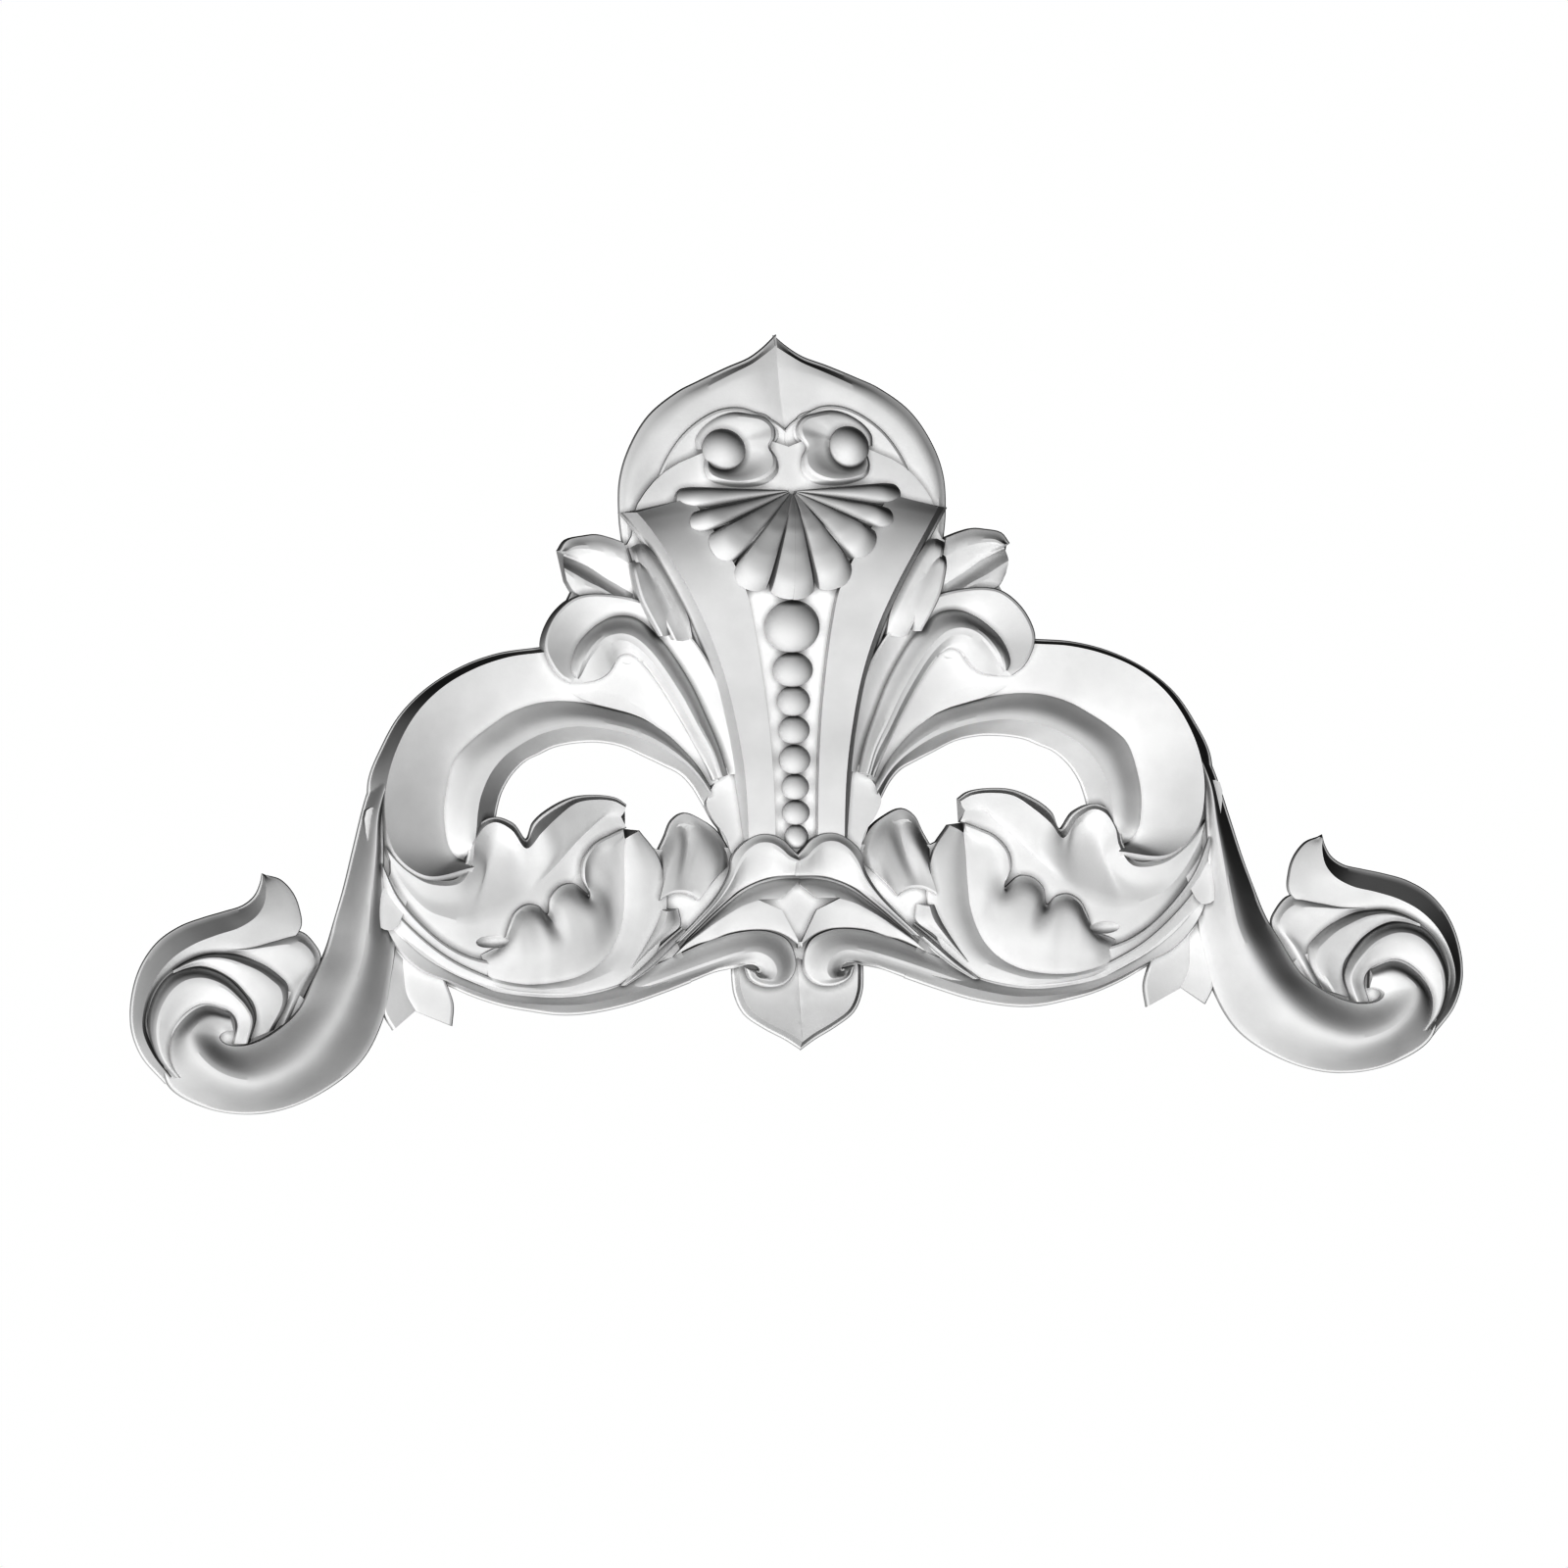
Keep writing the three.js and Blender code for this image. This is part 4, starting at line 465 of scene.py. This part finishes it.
def lower_leaf(side):
    """Lower leaf: two round scallops and a long lobe fall from their outline to a line, and a flatter
    band turns up beside them."""
    form(side, [
        rail([[47.6, -34.4], [44.4, -32.8], [43.4, -30.4], [42.4, -28.4], [40.6, -27.3], [38.8, -27.6],
            [37.5, -28.8], [37, -26.4], [35.4, -24.7], [33.4, -24.4], [31.2, -26], [32.2, -23.4],
            [31.9, -20.8], [30, -18.4], [27.4, -17.1], [25.6, -16.4]],
            [3.6, 4.4, 5, 5, 5, 4.8, 4, 5, 5, 4.8, 4.2, 5.6, 5.8, 5.4, 4.6, 4]),
        rail([[47.2, -35.8], [44.6, -34.4], [42.4, -32], [41.2, -30.4], [39.8, -29.8], [38.4, -30.4],
            [36.6, -30.6], [35.4, -28.2], [34.2, -27.2], [32.6, -27.2], [31, -27], [30.8, -24.2],
            [30.4, -21.6], [29.2, -19.8], [27.4, -18.8], [25.7, -17.4]],
            [4, 5.8, 7, 7, 6.8, 6.8, 5.8, 6.8, 6.8, 6.4, 5.4, 4.6, 4.6, 4.4, 4.2, 3.8]),
        rail([[46.8, -36.6], [44.4, -36.4], [42.2, -35.2], [40.6, -34.6], [39, -34.4], [37.4, -34.4],
            [35.4, -33.8], [33.8, -32.8], [32.2, -31.6], [30.6, -30.4], [29.2, -28.8], [28.4, -26.4],
            [28, -23.6], [27.4, -21.2], [26.6, -19.2], [25.7, -17.8]],
            [4, 5.6, 6.6, 6.8, 6.8, 6.8, 6.6, 6.6, 6.6, 6.4, 5.6, 4.4, 4, 3.8, 3.6, 3.5]),
        rail([[46.6, -37.8], [44.4, -38.6], [42.2, -39.1], [40.6, -39.3], [39, -39.3], [37.4, -39.2],
            [35.4, -38.9], [33.4, -38.4], [31.4, -37.5], [29.6, -36.2], [28, -34.4], [26.8, -32],
            [26, -29], [25.7, -25], [25.6, -21], [25.4, -17.9]],
            [3.6, 3.9, 4, 4, 3.9, 3.9, 3.8, 3.8, 3.7, 3.6, 3.5, 3.5, 3.4, 3.4, 3.4, 3.4]),
        rail([[46.6, -38.5], [44.3, -39.3], [42, -39.8], [40.2, -40], [38.4, -40.1], [36.6, -40],
            [34.4, -39.8], [32.2, -39.2], [30, -38.4], [27.6, -37.2], [25.6, -35.2], [24.4, -32.6],
            [23.6, -29.4], [23.2, -25], [23.6, -20.8], [24.6, -17.4]],
            [3.6, 4.2, 4.4, 4.5, 4.5, 4.5, 4.5, 4.5, 4.5, 4.6, 4.7, 4.8, 4.8, 4.8, 4.6, 4]),
        rail([[46.6, -39.3], [44.2, -40.1], [41.8, -40.6], [39.8, -40.9], [37.8, -41.1], [35.8, -41.2],
            [33.4, -41.1], [31, -40.7], [28.4, -40.1], [25.4, -39], [22.6, -37], [20.6, -33.5],
            [19.6, -29.5], [19.5, -25], [20.6, -20.5], [23.2, -16.7]],
            [3, 3.2, 3.3, 3.4, 3.4, 3.4, 3.4, 3.5, 3.6, 3.8, 4, 4.3, 4.6, 4.8, 4.6, 3.8]),
    ], "csscsc")


def almonds(side):
    """Almond lobes between the lower leaf and the heart."""
    form(side, [
        rail([[21.4, -28.2], [22.4, -31], [24, -34], [26, -37.2]], 3.8),
        rail([[19.6, -28.8], [20.2, -30.8], [22, -33.4], [25.2, -37.2]], [5.8, 6, 5.6, 4.4]),
        rail([[17.8, -28.4], [17.6, -30.9], [20.3, -33.1], [24.6, -37.2]], [4.4, 4.6, 4.4, 3.6]),
    ], "csc")
    form(side, [
        rail([[17.6, -31.2], [20.3, -33.4], [24.4, -37.2], [27, -39.8]], 4),
        rail([[16.9, -31.8], [19.4, -34], [23.2, -37.4], [26.4, -39.8]], [5, 5.2, 5, 4]),
        rail([[17, -33], [18.5, -34.3], [22, -37.3], [26, -39.8]], 3.8),
    ], "csc")


def rim(side):
    """Rim bands of the lower edge, from the stem round to the small volute."""
    form(side, [
        rail([[62, -20], [59.8, -25], [56, -29.8], [52, -33.2], [48.3, -35], [44, -35.8], [40, -35.8]],
            [6, 5.4, 5, 4.8, 4.6, 4.2, 3.8]),
        rail([[62, -24.6], [60, -27.7], [56, -32], [52, -35.2], [48, -37.4], [44, -39], [40, -39.6]],
            [4.2, 4.2, 4, 3.8, 3.6, 3.4, 3]),
    ], "cc")
    form(side, [
        rail([[62, -24.4], [60, -27.4], [56, -31.7], [52, -34.9], [48, -37.1], [44, -38.7], [40, -39.4],
            [36, -39.4], [32, -38.6], [28, -36.8], [24, -35], [19.4, -33.2]],
            [4.5, 4.5, 4.4, 4.2, 4, 3.6, 3, 3, 3, 3, 3.4, 3.8]),
        rail([[62, -27.6], [60.2, -30.4], [56, -34], [52, -37], [48, -38.9], [44, -40.2], [40, -40.9],
            [36, -41.2], [32, -40.9], [27, -39.8], [22, -37.2], [18.2, -33.6]],
            [3.2, 3, 3, 3, 3, 3, 3, 3, 3, 3.2, 3.4, 4]),
        rail([[61.6, -29.4], [60.2, -32.2], [56.4, -36.2], [52.6, -38], [48.4, -40], [44, -41.6],
            [40, -42.2], [36, -42.5], [32, -42.4], [26, -41.2], [20.4, -39.4], [16.4, -37.9]],
            [3, 3, 3.4, 3.6, 3.8, 4, 4.2, 4.3, 4.4, 4.6, 4.8, 5]),
        rail([[61.4, -30.6], [60, -33.4], [56.4, -37], [53, -38.6], [48.4, -40.9], [44, -42.5],
            [40, -43.4], [36, -44.05], [32, -44], [26, -42.9], [20.4, -41.1], [16, -39.5]],
            [2, 1.6, EDGE, EDGE, EDGE, EDGE, EDGE, EDGE, EDGE, EDGE, EDGE, EDGE]),
    ], "cccc")
    form(side, [
        rail([[26, -38.6], [21, -36.4], [17, -34.6], [13, -33], [9, -32], [5, -31.9], [1.8, -33.3],
            [0.7, -35.6], [0.7, -38], [2.2, -39.9], [5, -40.4], [7.5, -39.2], [8.2, -37.4]],
            [2.8, 4, 4.4, 4.8, 5, 5, 5, 5, 5, 5, 5, 5, 5]),
        rail([[26, -41], [21, -39.3], [16.6, -37.8], [12.6, -36.5], [9.6, -35.6], [6.6, -35.1],
            [4.7, -36], [3.9, -37.2], [3.8, -38.3], [4.4, -39.2], [5.4, -39.2], [6.5, -38.9],
            [7, -38.2]], [3.6, 4.9, 5.8, 6.4, 6.8, 7.1, 7.3, 7.4, 7.4, 7.4, 7.2, 6.8, 6.4]),
        rail([[26, -42.6], [21, -41.2], [16, -39.4], [12.6, -38.1], [9.8, -37.5], [8.4, -37.1],
            [7.4, -37], [6.9, -37.1], [6.5, -37.3], [6.3, -37.5], [6.2, -37.7], [6.3, -37.8],
            [6.4, -37.8]], [0.5, 0.7, EDGE, EDGE, 2.4, 4.4, 5, 5.2, 5.2, 5.2, 5.2, 5.2, 5.2]),
    ], "csc")


def heart_leaf(side):
    """Leaf beside the heart, rising from the opening to the slot above the almonds."""
    form(side, [
        rail([[9.8, -22], [9.9, -19.8], [11.4, -17], [13.5, -15.3], [16.3, -14.1], [18.2, -15.2],
            [19.4, -17.7], [20.4, -19.6]], [3.4, 3, 2.6, 2.6, 3]),
        rail([[12.4, -24], [12.4, -22], [13.2, -20.4], [14.4, -19.2], [16, -18.6], [17.2, -19],
            [18.4, -20.4], [19.6, -22.4]], [6.2, 5.8, 5.5, 5, 3.8, 5, 5.6, 5.8]),
        rail([[15, -27.2], [15.4, -26.8], [16, -26.5], [16.8, -26.2], [17.8, -26.1], [18.8, -26.2],
            [19.8, -26.6], [20.8, -27.2]], 6.2),
    ], "csc")


def heart(side):
    """Heart: two lobes at the foot of the console, a grooved band and a field with a sunk star."""
    form(side, [
        rail([[18.6, -33.4], [15, -29.8], [12, -26.4], [10.1, -23], [9.7, -20.7], [8.2, -18.9],
            [6, -17.65], [4, -17.6], [2.1, -18.45], [0.8, -19.8], [-0.3, -20.9]],
            [5.4, 6, 6.8, 7.2, 7.4, 7.4]),
        rail([[17.9, -33.2], [14.8, -30.3], [12.2, -27.6], [10.2, -25], [8.8, -22.4], [7.6, -20.7],
            [5.8, -19.6], [4, -19.6], [2.6, -20.4], [1.4, -21.4], [-0.3, -22]],
            [5.6, 6.4, 7.2, 7.9, 8.2, 8.2]),
        rail([[16.8, -33], [14.6, -31], [12.6, -29.2], [10.6, -27.5], [9, -26.2], [7.6, -25.4],
            [6, -24.7], [4.4, -24.2], [3, -24], [1.5, -23.95], [-0.3, -23.95]],
            [4.8, 4.8, 4.8, 5, 5.6]),
    ], "csc")
    form(side, [
        rail([[16.6, -33], [14.4, -30.8], [12.4, -29], [10.4, -27.3], [8.4, -25.8], [6.2, -24.7],
            [4.2, -24.1], [2.2, -23.8], [-0.3, -23.8]], [4.4, 4.6, 4.6, 4.6, 4.8]),
        rail([[16.9, -33.6], [14.6, -32], [12.6, -30.6], [10.5, -29.3], [8.5, -28.2], [6.4, -27.5],
            [4.4, -27], [2.2, -26.6], [-0.3, -26.4]], [5.2, 6.4, 7, 7, 6.8]),
        rail([[19, -35.6], [15.6, -33.9], [13.1, -33.2], [10.6, -32.3], [8.4, -31.9], [6, -31.8],
            [4, -32], [2, -32.8], [-0.3, -34.6]], [5, 5.4, 5.6, 5.8, 6.2]),
    ], "csc")


def drop(side):
    """Pointed drop: a dished face with a bevelled edge."""
    form(side, [
        rail([[9.85, -36], [9.9, -38.8], [9.6, -41.6], [8.3, -44.4], [5.4, -46.6], [2.2, -48.4],
            [0, -49.9]], EDGE),
        rail([[8.9, -36], [8.9, -38.8], [8.6, -41.4], [7.4, -43.9], [4.8, -45.8], [1.9, -47.4],
            [0, -48.7]], [2, 2.2, 2.6, 3, 3.3, 3.5, 3.6]),
        rail([[5.4, -34], [5.4, -37.5], [5.2, -40.4], [4.6, -42.4], [3, -44], [1.2, -45.6], [0, -46.6]],
            [1, 1.2, 1.8, 2.4, 2.8, 3.1, 3.3]),
        rail([[-0.3, -34], [-0.3, -37.5], [-0.3, -40], [-0.3, -41.6], [-0.3, -43], [-0.3, -44.4],
            [-0.3, -45.6]], [0.9, 1.1, 1.7, 2.2, 2.5, 2.9, 3.1]),
    ], "ccsc")


def arrow(side):
    """Arrow leaflet behind the stem: two thin blades that meet in a crease."""
    form(side, [
        rail([[62, -30], [61.6, -36], [62.4, -42], [61, -45]], [2.2, 2, 1.8]),
        rail([[59, -30], [58.8, -35.4], [58.4, -39.6], [57.2, -42.1]], [1.2, 1.2, 1]),
    ], "cc")
    form(side, [
        rail([[59.4, -30], [59.3, -35.4], [59, -39.6], [57.6, -42.3]], [1.2, 1.2, 1]),
        rail([[54, -33], [52.8, -38.2], [51.8, -41.6], [52.1, -44.9]], [2.4, 2.2, 2]),
    ], "cc")


def ground(side):
    """Ground under the carving, where neighbouring forms leave a seam."""
    plate(side, [[-0.3, 40], [16, 38], [22, 32], [23.6, 26], [31, 24], [32, 19], [34.4, 15], [36, 11],
        [35, 6], [31, 3], [22, 0], [16, -5], [12, -10.6], [11.4, -16], [9.4, -20], [6, -21],
        [-0.3, -21]], 0, 3.6)
    plate(side, [[-0.3, -22], [7, -19], [10.6, -19.4], [14, -16.6], [17.2, -15.8], [19.8, -19.6],
        [22.6, -18.6], [26, -18], [34, -20], [42, -26], [50, -28], [58, -24], [62, -22], [60.6, -29],
        [56, -34.4], [48, -39], [40, -42], [32, -42.6], [22, -39.8], [12, -36.8], [-0.3, -36]], 0, 3.2)
    plate(side, [[74, -40], [76, -38.4], [80, -38.4], [84, -40], [88, -41.4], [89, -45], [86, -47.4],
        [80, -47], [76, -44]], 0, 2.8)
    plate(side, [[64, -12], [61, -12], [58.5, -18], [58, -24], [60.6, -30], [63.2, -29], [63.6, -20]],
        0, 4.6)


SHELL_CENTRE = np.array([0, 33.5])
RIB_EDGES = np.radians([3.5, -10.5, -25.7, -50.8, -76.2, -103.8])
RIB_TIPS = [16.8, 15.9, 15, 16.2, 16.3]
NOTCHES = [14.6, 13.6, 12.6, 12.8, 14.1, 14.1]
RIB_STATIONS = 30
RIB_ACROSS = 16
SHELL_UP = [36, 33.5, 32.4, 31.3, 29.6, 27.5, 24, 19, 13]
SHELL_LIE = [5.4, 6.8, 7.8, 9, 10.6, 11.9, 12.9, 13.2, 12.7]
FLUTE_DEPTH = 1.9
FLUTE_BY = 0.6
SWELL_START = 0.5
SWELL_MORE = 1.7
SWELL_BY = 0.75
TIP_FALL = 2.2
FALL_FROM = 0.8
FALL_LENGTH = 0.2
LOBE_POWER = 0.8
RIB_LEVEL = 0.75
HUB = 0.6
PAST_MIDDLE = 0.02


def shell(side):
    """Shell: fluted ribs fan out over the console's rolled top and end in round lobes."""
    columns = []
    for number, tip in enumerate(RIB_TIPS):
        first, last = RIB_EDGES[number], RIB_EDGES[number + 1]
        middle_up = math.sin((first + last) / 2)
        for k in range(RIB_ACROSS + (number == len(RIB_TIPS) - 1)):
            t = k / RIB_ACROSS
            angle = first + (last - first) * t
            if angle < -math.pi / 2 - PAST_MIDDLE:
                break
            across = math.sqrt(max(1 - (2 * t - 1) ** 2, 0))
            edge = NOTCHES[number] * (1 - t) + NOTCHES[number + 1] * t
            reach = edge + (tip - edge) * across**LOBE_POWER
            toward = np.array([math.cos(angle), math.sin(angle)])
            line = []
            for i in range(RIB_STATIONS + 1):
                share = i / RIB_STATIONS
                spot = SHELL_CENTRE + toward * max(share * reach, HUB)
                middle = SHELL_CENTRE[1] + middle_up * share * tip
                up = (1 - RIB_LEVEL) * spot[1] + RIB_LEVEL * middle
                lie = np.interp(up, SHELL_UP[::-1], SHELL_LIE[::-1])
                swell = SWELL_START + SWELL_MORE * min(share / SWELL_BY, 1)
                flute = FLUTE_DEPTH * min(share / FLUTE_BY, 1) * (across**LOBE_POWER - 1)
                fall = TIP_FALL * max((share - FALL_FROM) / FALL_LENGTH, 0) ** 2
                line.append((spot[0], spot[1], lie + swell + flute - fall))
            columns.append(line)
    lines = np.array(columns)
    flat = np.array([1, 1, 0])
    grid = np.concatenate([lines[:, :1] * flat, lines, lines[:, -1:] * flat], axis=1)
    add_solid("shell", *lofted(side, grid))


CONSOLE_UP = [30.7, 29.3, 27.3, 24, 19, 13, 6, -1, -9, -22.5]
CONSOLE_RIDGE = [22.6, 21.6, 20.3, 18.3, 15.5, 12.7, 10.3, 8.75, 7.6, 7.05]
CONSOLE_INNER = [15, 13.6, 12, 9.5, 7.1, 5.8, 4.75, 3.95, 3.4, 3.1]
CONSOLE_TILT = [2, 1.5, 0.8, 0, 0, 0, 0, 0, 0, 0]
CONSOLE_RISE = [8.2, 9.9, 11.5, 12.8, 13.1, 12.2, 11.1, 10.1, 9, 5.6]
WALL_LEAN = 2
WALL_FALL = 5.5
INNER_LEAN = -0.3
INNER_FALL = 3
CHANNEL_DEPTH = 2.5
UNDER_PILASTER = 1
PAST_CENTRE = -0.2


def console_line(across, offset, fall):
    """A line down the console; its inner edges tilt up at the shell."""
    tilt = CONSOLE_TILT if across is CONSOLE_INNER else 0
    up = np.add(CONSOLE_UP, tilt)
    return np.column_stack([np.array(across) + offset, up, np.array(CONSOLE_RISE) - fall])


def pilaster(side):
    """One of the console's two pilasters, leaning forward to the shell."""
    form(side, [
        console_line(CONSOLE_RIDGE, WALL_LEAN, WALL_FALL),
        console_line(CONSOLE_RIDGE, 0, 0),
        console_line(CONSOLE_INNER, 0, 0),
        console_line(CONSOLE_INNER, INNER_LEAN, INNER_FALL),
    ], "cccc")


def channel(side):
    """Half of the sunk channel between the pilasters."""
    form(side, [
        console_line(CONSOLE_INNER, UNDER_PILASTER, CHANNEL_DEPTH),
        console_line(np.zeros(len(CONSOLE_UP)), PAST_CENTRE, CHANNEL_DEPTH),
    ], "cc")


BEAD_UP = [13.3, 6.87, 2.2, -2.1, -6.5, -10.6, -14.4, -18.0]
BEAD_HALF_UP = [3.85, 2.57, 2.25, 2.09, 2.17, 1.92, 1.85, 1.8]
BEAD_HALF_OUT = [4.14, 3.0, 2.5, 2.35, 2.35, 2.06, 2.09, 1.8]
BEAD_OVERLAP = 1.02
BEAD_FLATTENING = 0.85
BEAD_LIFT = 0.6
BED_UP = -18
BED_RISE = 7.9
BED_SLOPE = 0.15


def beads():
    """Eight beads down the channel; each just touches the next."""
    for up, half_up, half_out in zip(BEAD_UP, BEAD_HALF_UP, BEAD_HALF_OUT):
        bed = BED_RISE + (up - BED_UP) * BED_SLOPE - CHANNEL_DEPTH
        egg(1, [0, up, bed + BEAD_LIFT], [half_out, half_up * BEAD_OVERLAP, half_out * BEAD_FLATTENING])


STAR = [[-0.3, -24.9], [0, -24.9], [2.7, -27.2], [6.2, -27.3], [2.6, -29], [0.2, -33.7], [-0.3, -33.7]]
STAR_FLOOR = 4.4
STAR_TOP = 9.0


def cutters(side):
    """The four-pointed star sunk in the heart, the drop-shaped eyelet in the lip leaf, and the half
    moon below the hooked lobe."""
    prism("star", side, rail(STAR, 0), STAR_FLOOR, STAR_TOP)
    egg(side, [46, -32.7, 5], [2.6, 1.1, 2.6], 24)
    egg(side, [24.2, 8.4, 6.4], [2.2, 0.9, 2], 24)


FORMS = (
    arch, petal, shell, pilaster, channel, cheek, ear, flute, scroll, spandrel, stem, tail, lip_leaf,
    lower_leaf, almonds, rim, heart_leaf, heart, drop, arrow, ground,
)
for side in (1, -1):
    for carve in FORMS:
        carve(side)
beads()
added = list(solids)
solids.clear()
for side in (1, -1):
    cutters(side)
taken = list(solids)


def joined(base, others, operation, name):
    """The boolean of one solid with a set of others, as a new object."""
    group = bpy.data.collections.new(name)
    bpy.context.scene.collection.children.link(group)
    for other in others:
        group.objects.link(other)
    bpy.context.scene.collection.objects.link(base)
    modifier = base.modifiers.new("join", "BOOLEAN")
    modifier.operation = operation
    modifier.solver = "MANIFOLD"
    modifier.operand_type = "COLLECTION"
    modifier.collection = group
    depsgraph = bpy.context.evaluated_depsgraph_get()
    mesh = bpy.data.meshes.new_from_object(base.evaluated_get(depsgraph))
    result = bpy.data.objects.new(name, mesh)
    for other in [base, *others]:
        bpy.data.objects.remove(other)
    bpy.data.collections.remove(group)
    return result


whole = joined(added[0], added[1:], "UNION", "union")
relief = joined(whole, taken, "DIFFERENCE", "relief")
bpy.context.scene.collection.objects.link(relief)
work = bmesh.new()
work.from_mesh(relief.data)
bmesh.ops.remove_doubles(work, verts=work.verts, dist=5e-6)
bmesh.ops.dissolve_degenerate(work, edges=work.edges, dist=5e-6)
for face in work.faces:
    face.smooth = True
for edge in work.edges:
    edge.smooth = len(edge.link_faces) == 2 and edge.calc_face_angle(0) < SHARP_ANGLE
work.to_mesh(relief.data)
work.free()


def grey_ramp(nodes, low, high):
    """A ramp from one grey to another; each end is a position and a grey level."""
    ramp = nodes.new("ShaderNodeValToRGB")
    for element, (position, grey) in zip(ramp.color_ramp.elements, (low, high)):
        element.position = position
        element.color = (grey, grey, grey, 1)
    return ramp


def noise(nodes, scale, detail):
    """A noise texture of one scale."""
    texture = nodes.new("ShaderNodeTexNoise")
    texture.inputs["Scale"].default_value = scale
    texture.inputs["Detail"].default_value = detail
    return texture


def cast_surface():
    """Matt white cast surface with a faint mottle, fine grain and painted shade that darkens its hollows
    and creases.
    """
    material = bpy.data.materials.new("cast_white")
    material.use_nodes = True
    nodes, links = material.node_tree.nodes, material.node_tree.links
    shader = nodes["Principled BSDF"]
    shader.inputs["Base Color"].default_value = (0.8, 0.8, 0.8, 1)
    shader.inputs["Roughness"].default_value = 0.8
    shader.inputs["Specular IOR Level"].default_value = 0.25
    coordinates = nodes.new("ShaderNodeTexCoord")
    mottle = noise(nodes, 40, 4)
    tint = grey_ramp(nodes, (0.3, 0.77), (0.7, 0.83))
    links.new(coordinates.outputs["Object"], mottle.inputs["Vector"])
    links.new(mottle.outputs["Fac"], tint.inputs["Fac"])
    # Painted shade: ambient occlusion darkens the base colour in creases and hollows, where shade falls.
    crease_occlusion = nodes.new("ShaderNodeAmbientOcclusion")
    crease_occlusion.samples = 8
    crease_occlusion.only_local = True
    crease_occlusion.inputs["Distance"].default_value = 0.004
    painted_crease_shade = grey_ramp(nodes, (0.25, 0.45), (0.85, 1))
    links.new(crease_occlusion.outputs["AO"], painted_crease_shade.inputs["Fac"])
    crease_shaded_colour = nodes.new("ShaderNodeMix")
    crease_shaded_colour.data_type = "RGBA"
    crease_shaded_colour.blend_type = "MULTIPLY"
    crease_shaded_colour.inputs["Factor"].default_value = 1
    links.new(tint.outputs["Color"], crease_shaded_colour.inputs["A"])
    links.new(painted_crease_shade.outputs["Color"], crease_shaded_colour.inputs["B"])
    links.new(crease_shaded_colour.outputs["Result"], shader.inputs["Base Color"])
    grain = noise(nodes, 900, 3)
    bump = nodes.new("ShaderNodeBump")
    bump.inputs["Strength"].default_value = 0.05
    bump.inputs["Distance"].default_value = 0.0004
    links.new(coordinates.outputs["Object"], grain.inputs["Vector"])
    links.new(grain.outputs["Fac"], bump.inputs["Height"])
    links.new(bump.outputs["Normal"], shader.inputs["Normal"])
    return material


relief.data.materials.clear()
relief.data.materials.append(cast_surface())
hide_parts("carved_applique")
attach(relief, "root")

# Floor, a little below the ornament's foot level, out of the picture.
FLOOR_HALF = 1.5
FLOOR_HEIGHT = -1.2
floor_mesh = bpy.data.meshes.new("floor")
floor_corners = [(x * FLOOR_HALF, y * FLOOR_HALF, 0) for x, y in ((-1, -1), (1, -1), (1, 1), (-1, 1))]
floor_mesh.from_pydata(floor_corners, [], [(0, 1, 2, 3)])
floor = bpy.data.objects.new("floor", floor_mesh)
floor.location = (0, 0, FLOOR_HEIGHT)
bpy.context.scene.collection.objects.link(floor)
pale = bpy.data.materials.new("pale_floor")
pale.use_nodes = True
pale.node_tree.nodes["Principled BSDF"].inputs["Base Color"].default_value = (0.85, 0.85, 0.85, 1)
floor.data.materials.append(pale)


def sun(name, direction, strength, softness):
    """A soft light from one side that casts no shadows."""
    data = bpy.data.lights.new(name, "SUN")
    data.energy = strength
    data.angle = math.radians(softness)
    data.use_shadow = False
    lamp = bpy.data.objects.new(name, data)
    lamp.rotation_euler = Vector(direction).to_track_quat("-Z", "Y").to_euler()
    bpy.context.scene.collection.objects.link(lamp)


sun("key", (0.35, 0.9, 0.45), 3.45, 12)

world = bpy.data.worlds.new("studio")
bpy.context.scene.world = world
world.use_nodes = True
nodes, links = world.node_tree.nodes, world.node_tree.links
path = nodes.new("ShaderNodeLightPath")
background = nodes["Background"]
background.inputs["Color"].default_value = (0.08, 0.08, 0.08, 1)
seen = nodes.new("ShaderNodeBackground")
seen.inputs["Color"].default_value = (1, 1, 1, 1)
mix = nodes.new("ShaderNodeMixShader")
links.new(path.outputs["Is Camera Ray"], mix.inputs["Fac"])
links.new(background.outputs["Background"], mix.inputs[1])
links.new(seen.outputs["Background"], mix.inputs[2])
links.new(mix.outputs["Shader"], nodes["World Output"].inputs["Surface"])
bpy.context.scene.view_settings.view_transform = "Standard"
bpy.context.scene.view_settings.gamma = 0.5

# Camera: slightly to the ornament's left, nearly level, a little rolled. In the picture of 1600
# pixels, one drawing unit spans about 6.76 pixels.
DISTANCE = 12
YAW = math.radians(6.0)
ROLL = math.radians(-2.12)
TARGET = Vector((-0.004, -0.012, -0.031))
SENSOR = 36
PICTURE_PIXELS = 1600
PIXEL = GRID / 6.757
ENLARGING = 1.0127
camera_data = bpy.data.cameras.new("camera")
camera = bpy.data.objects.new("camera", camera_data)
bpy.context.scene.collection.objects.link(camera)
bpy.context.scene.camera = camera
offset = Vector((-math.sin(YAW), -math.cos(YAW), 0)) * DISTANCE
camera.location = TARGET + offset
rotation = (-offset).to_track_quat("-Z", "Y").to_matrix() @ Matrix.Rotation(ROLL, 3, "Z")
camera.rotation_euler = rotation.to_euler()
camera_data.sensor_width = SENSOR
camera_data.sensor_fit = "HORIZONTAL"
camera_data.lens = SENSOR * DISTANCE * ENLARGING / (PICTURE_PIXELS * PIXEL)
camera_data.clip_end = 50
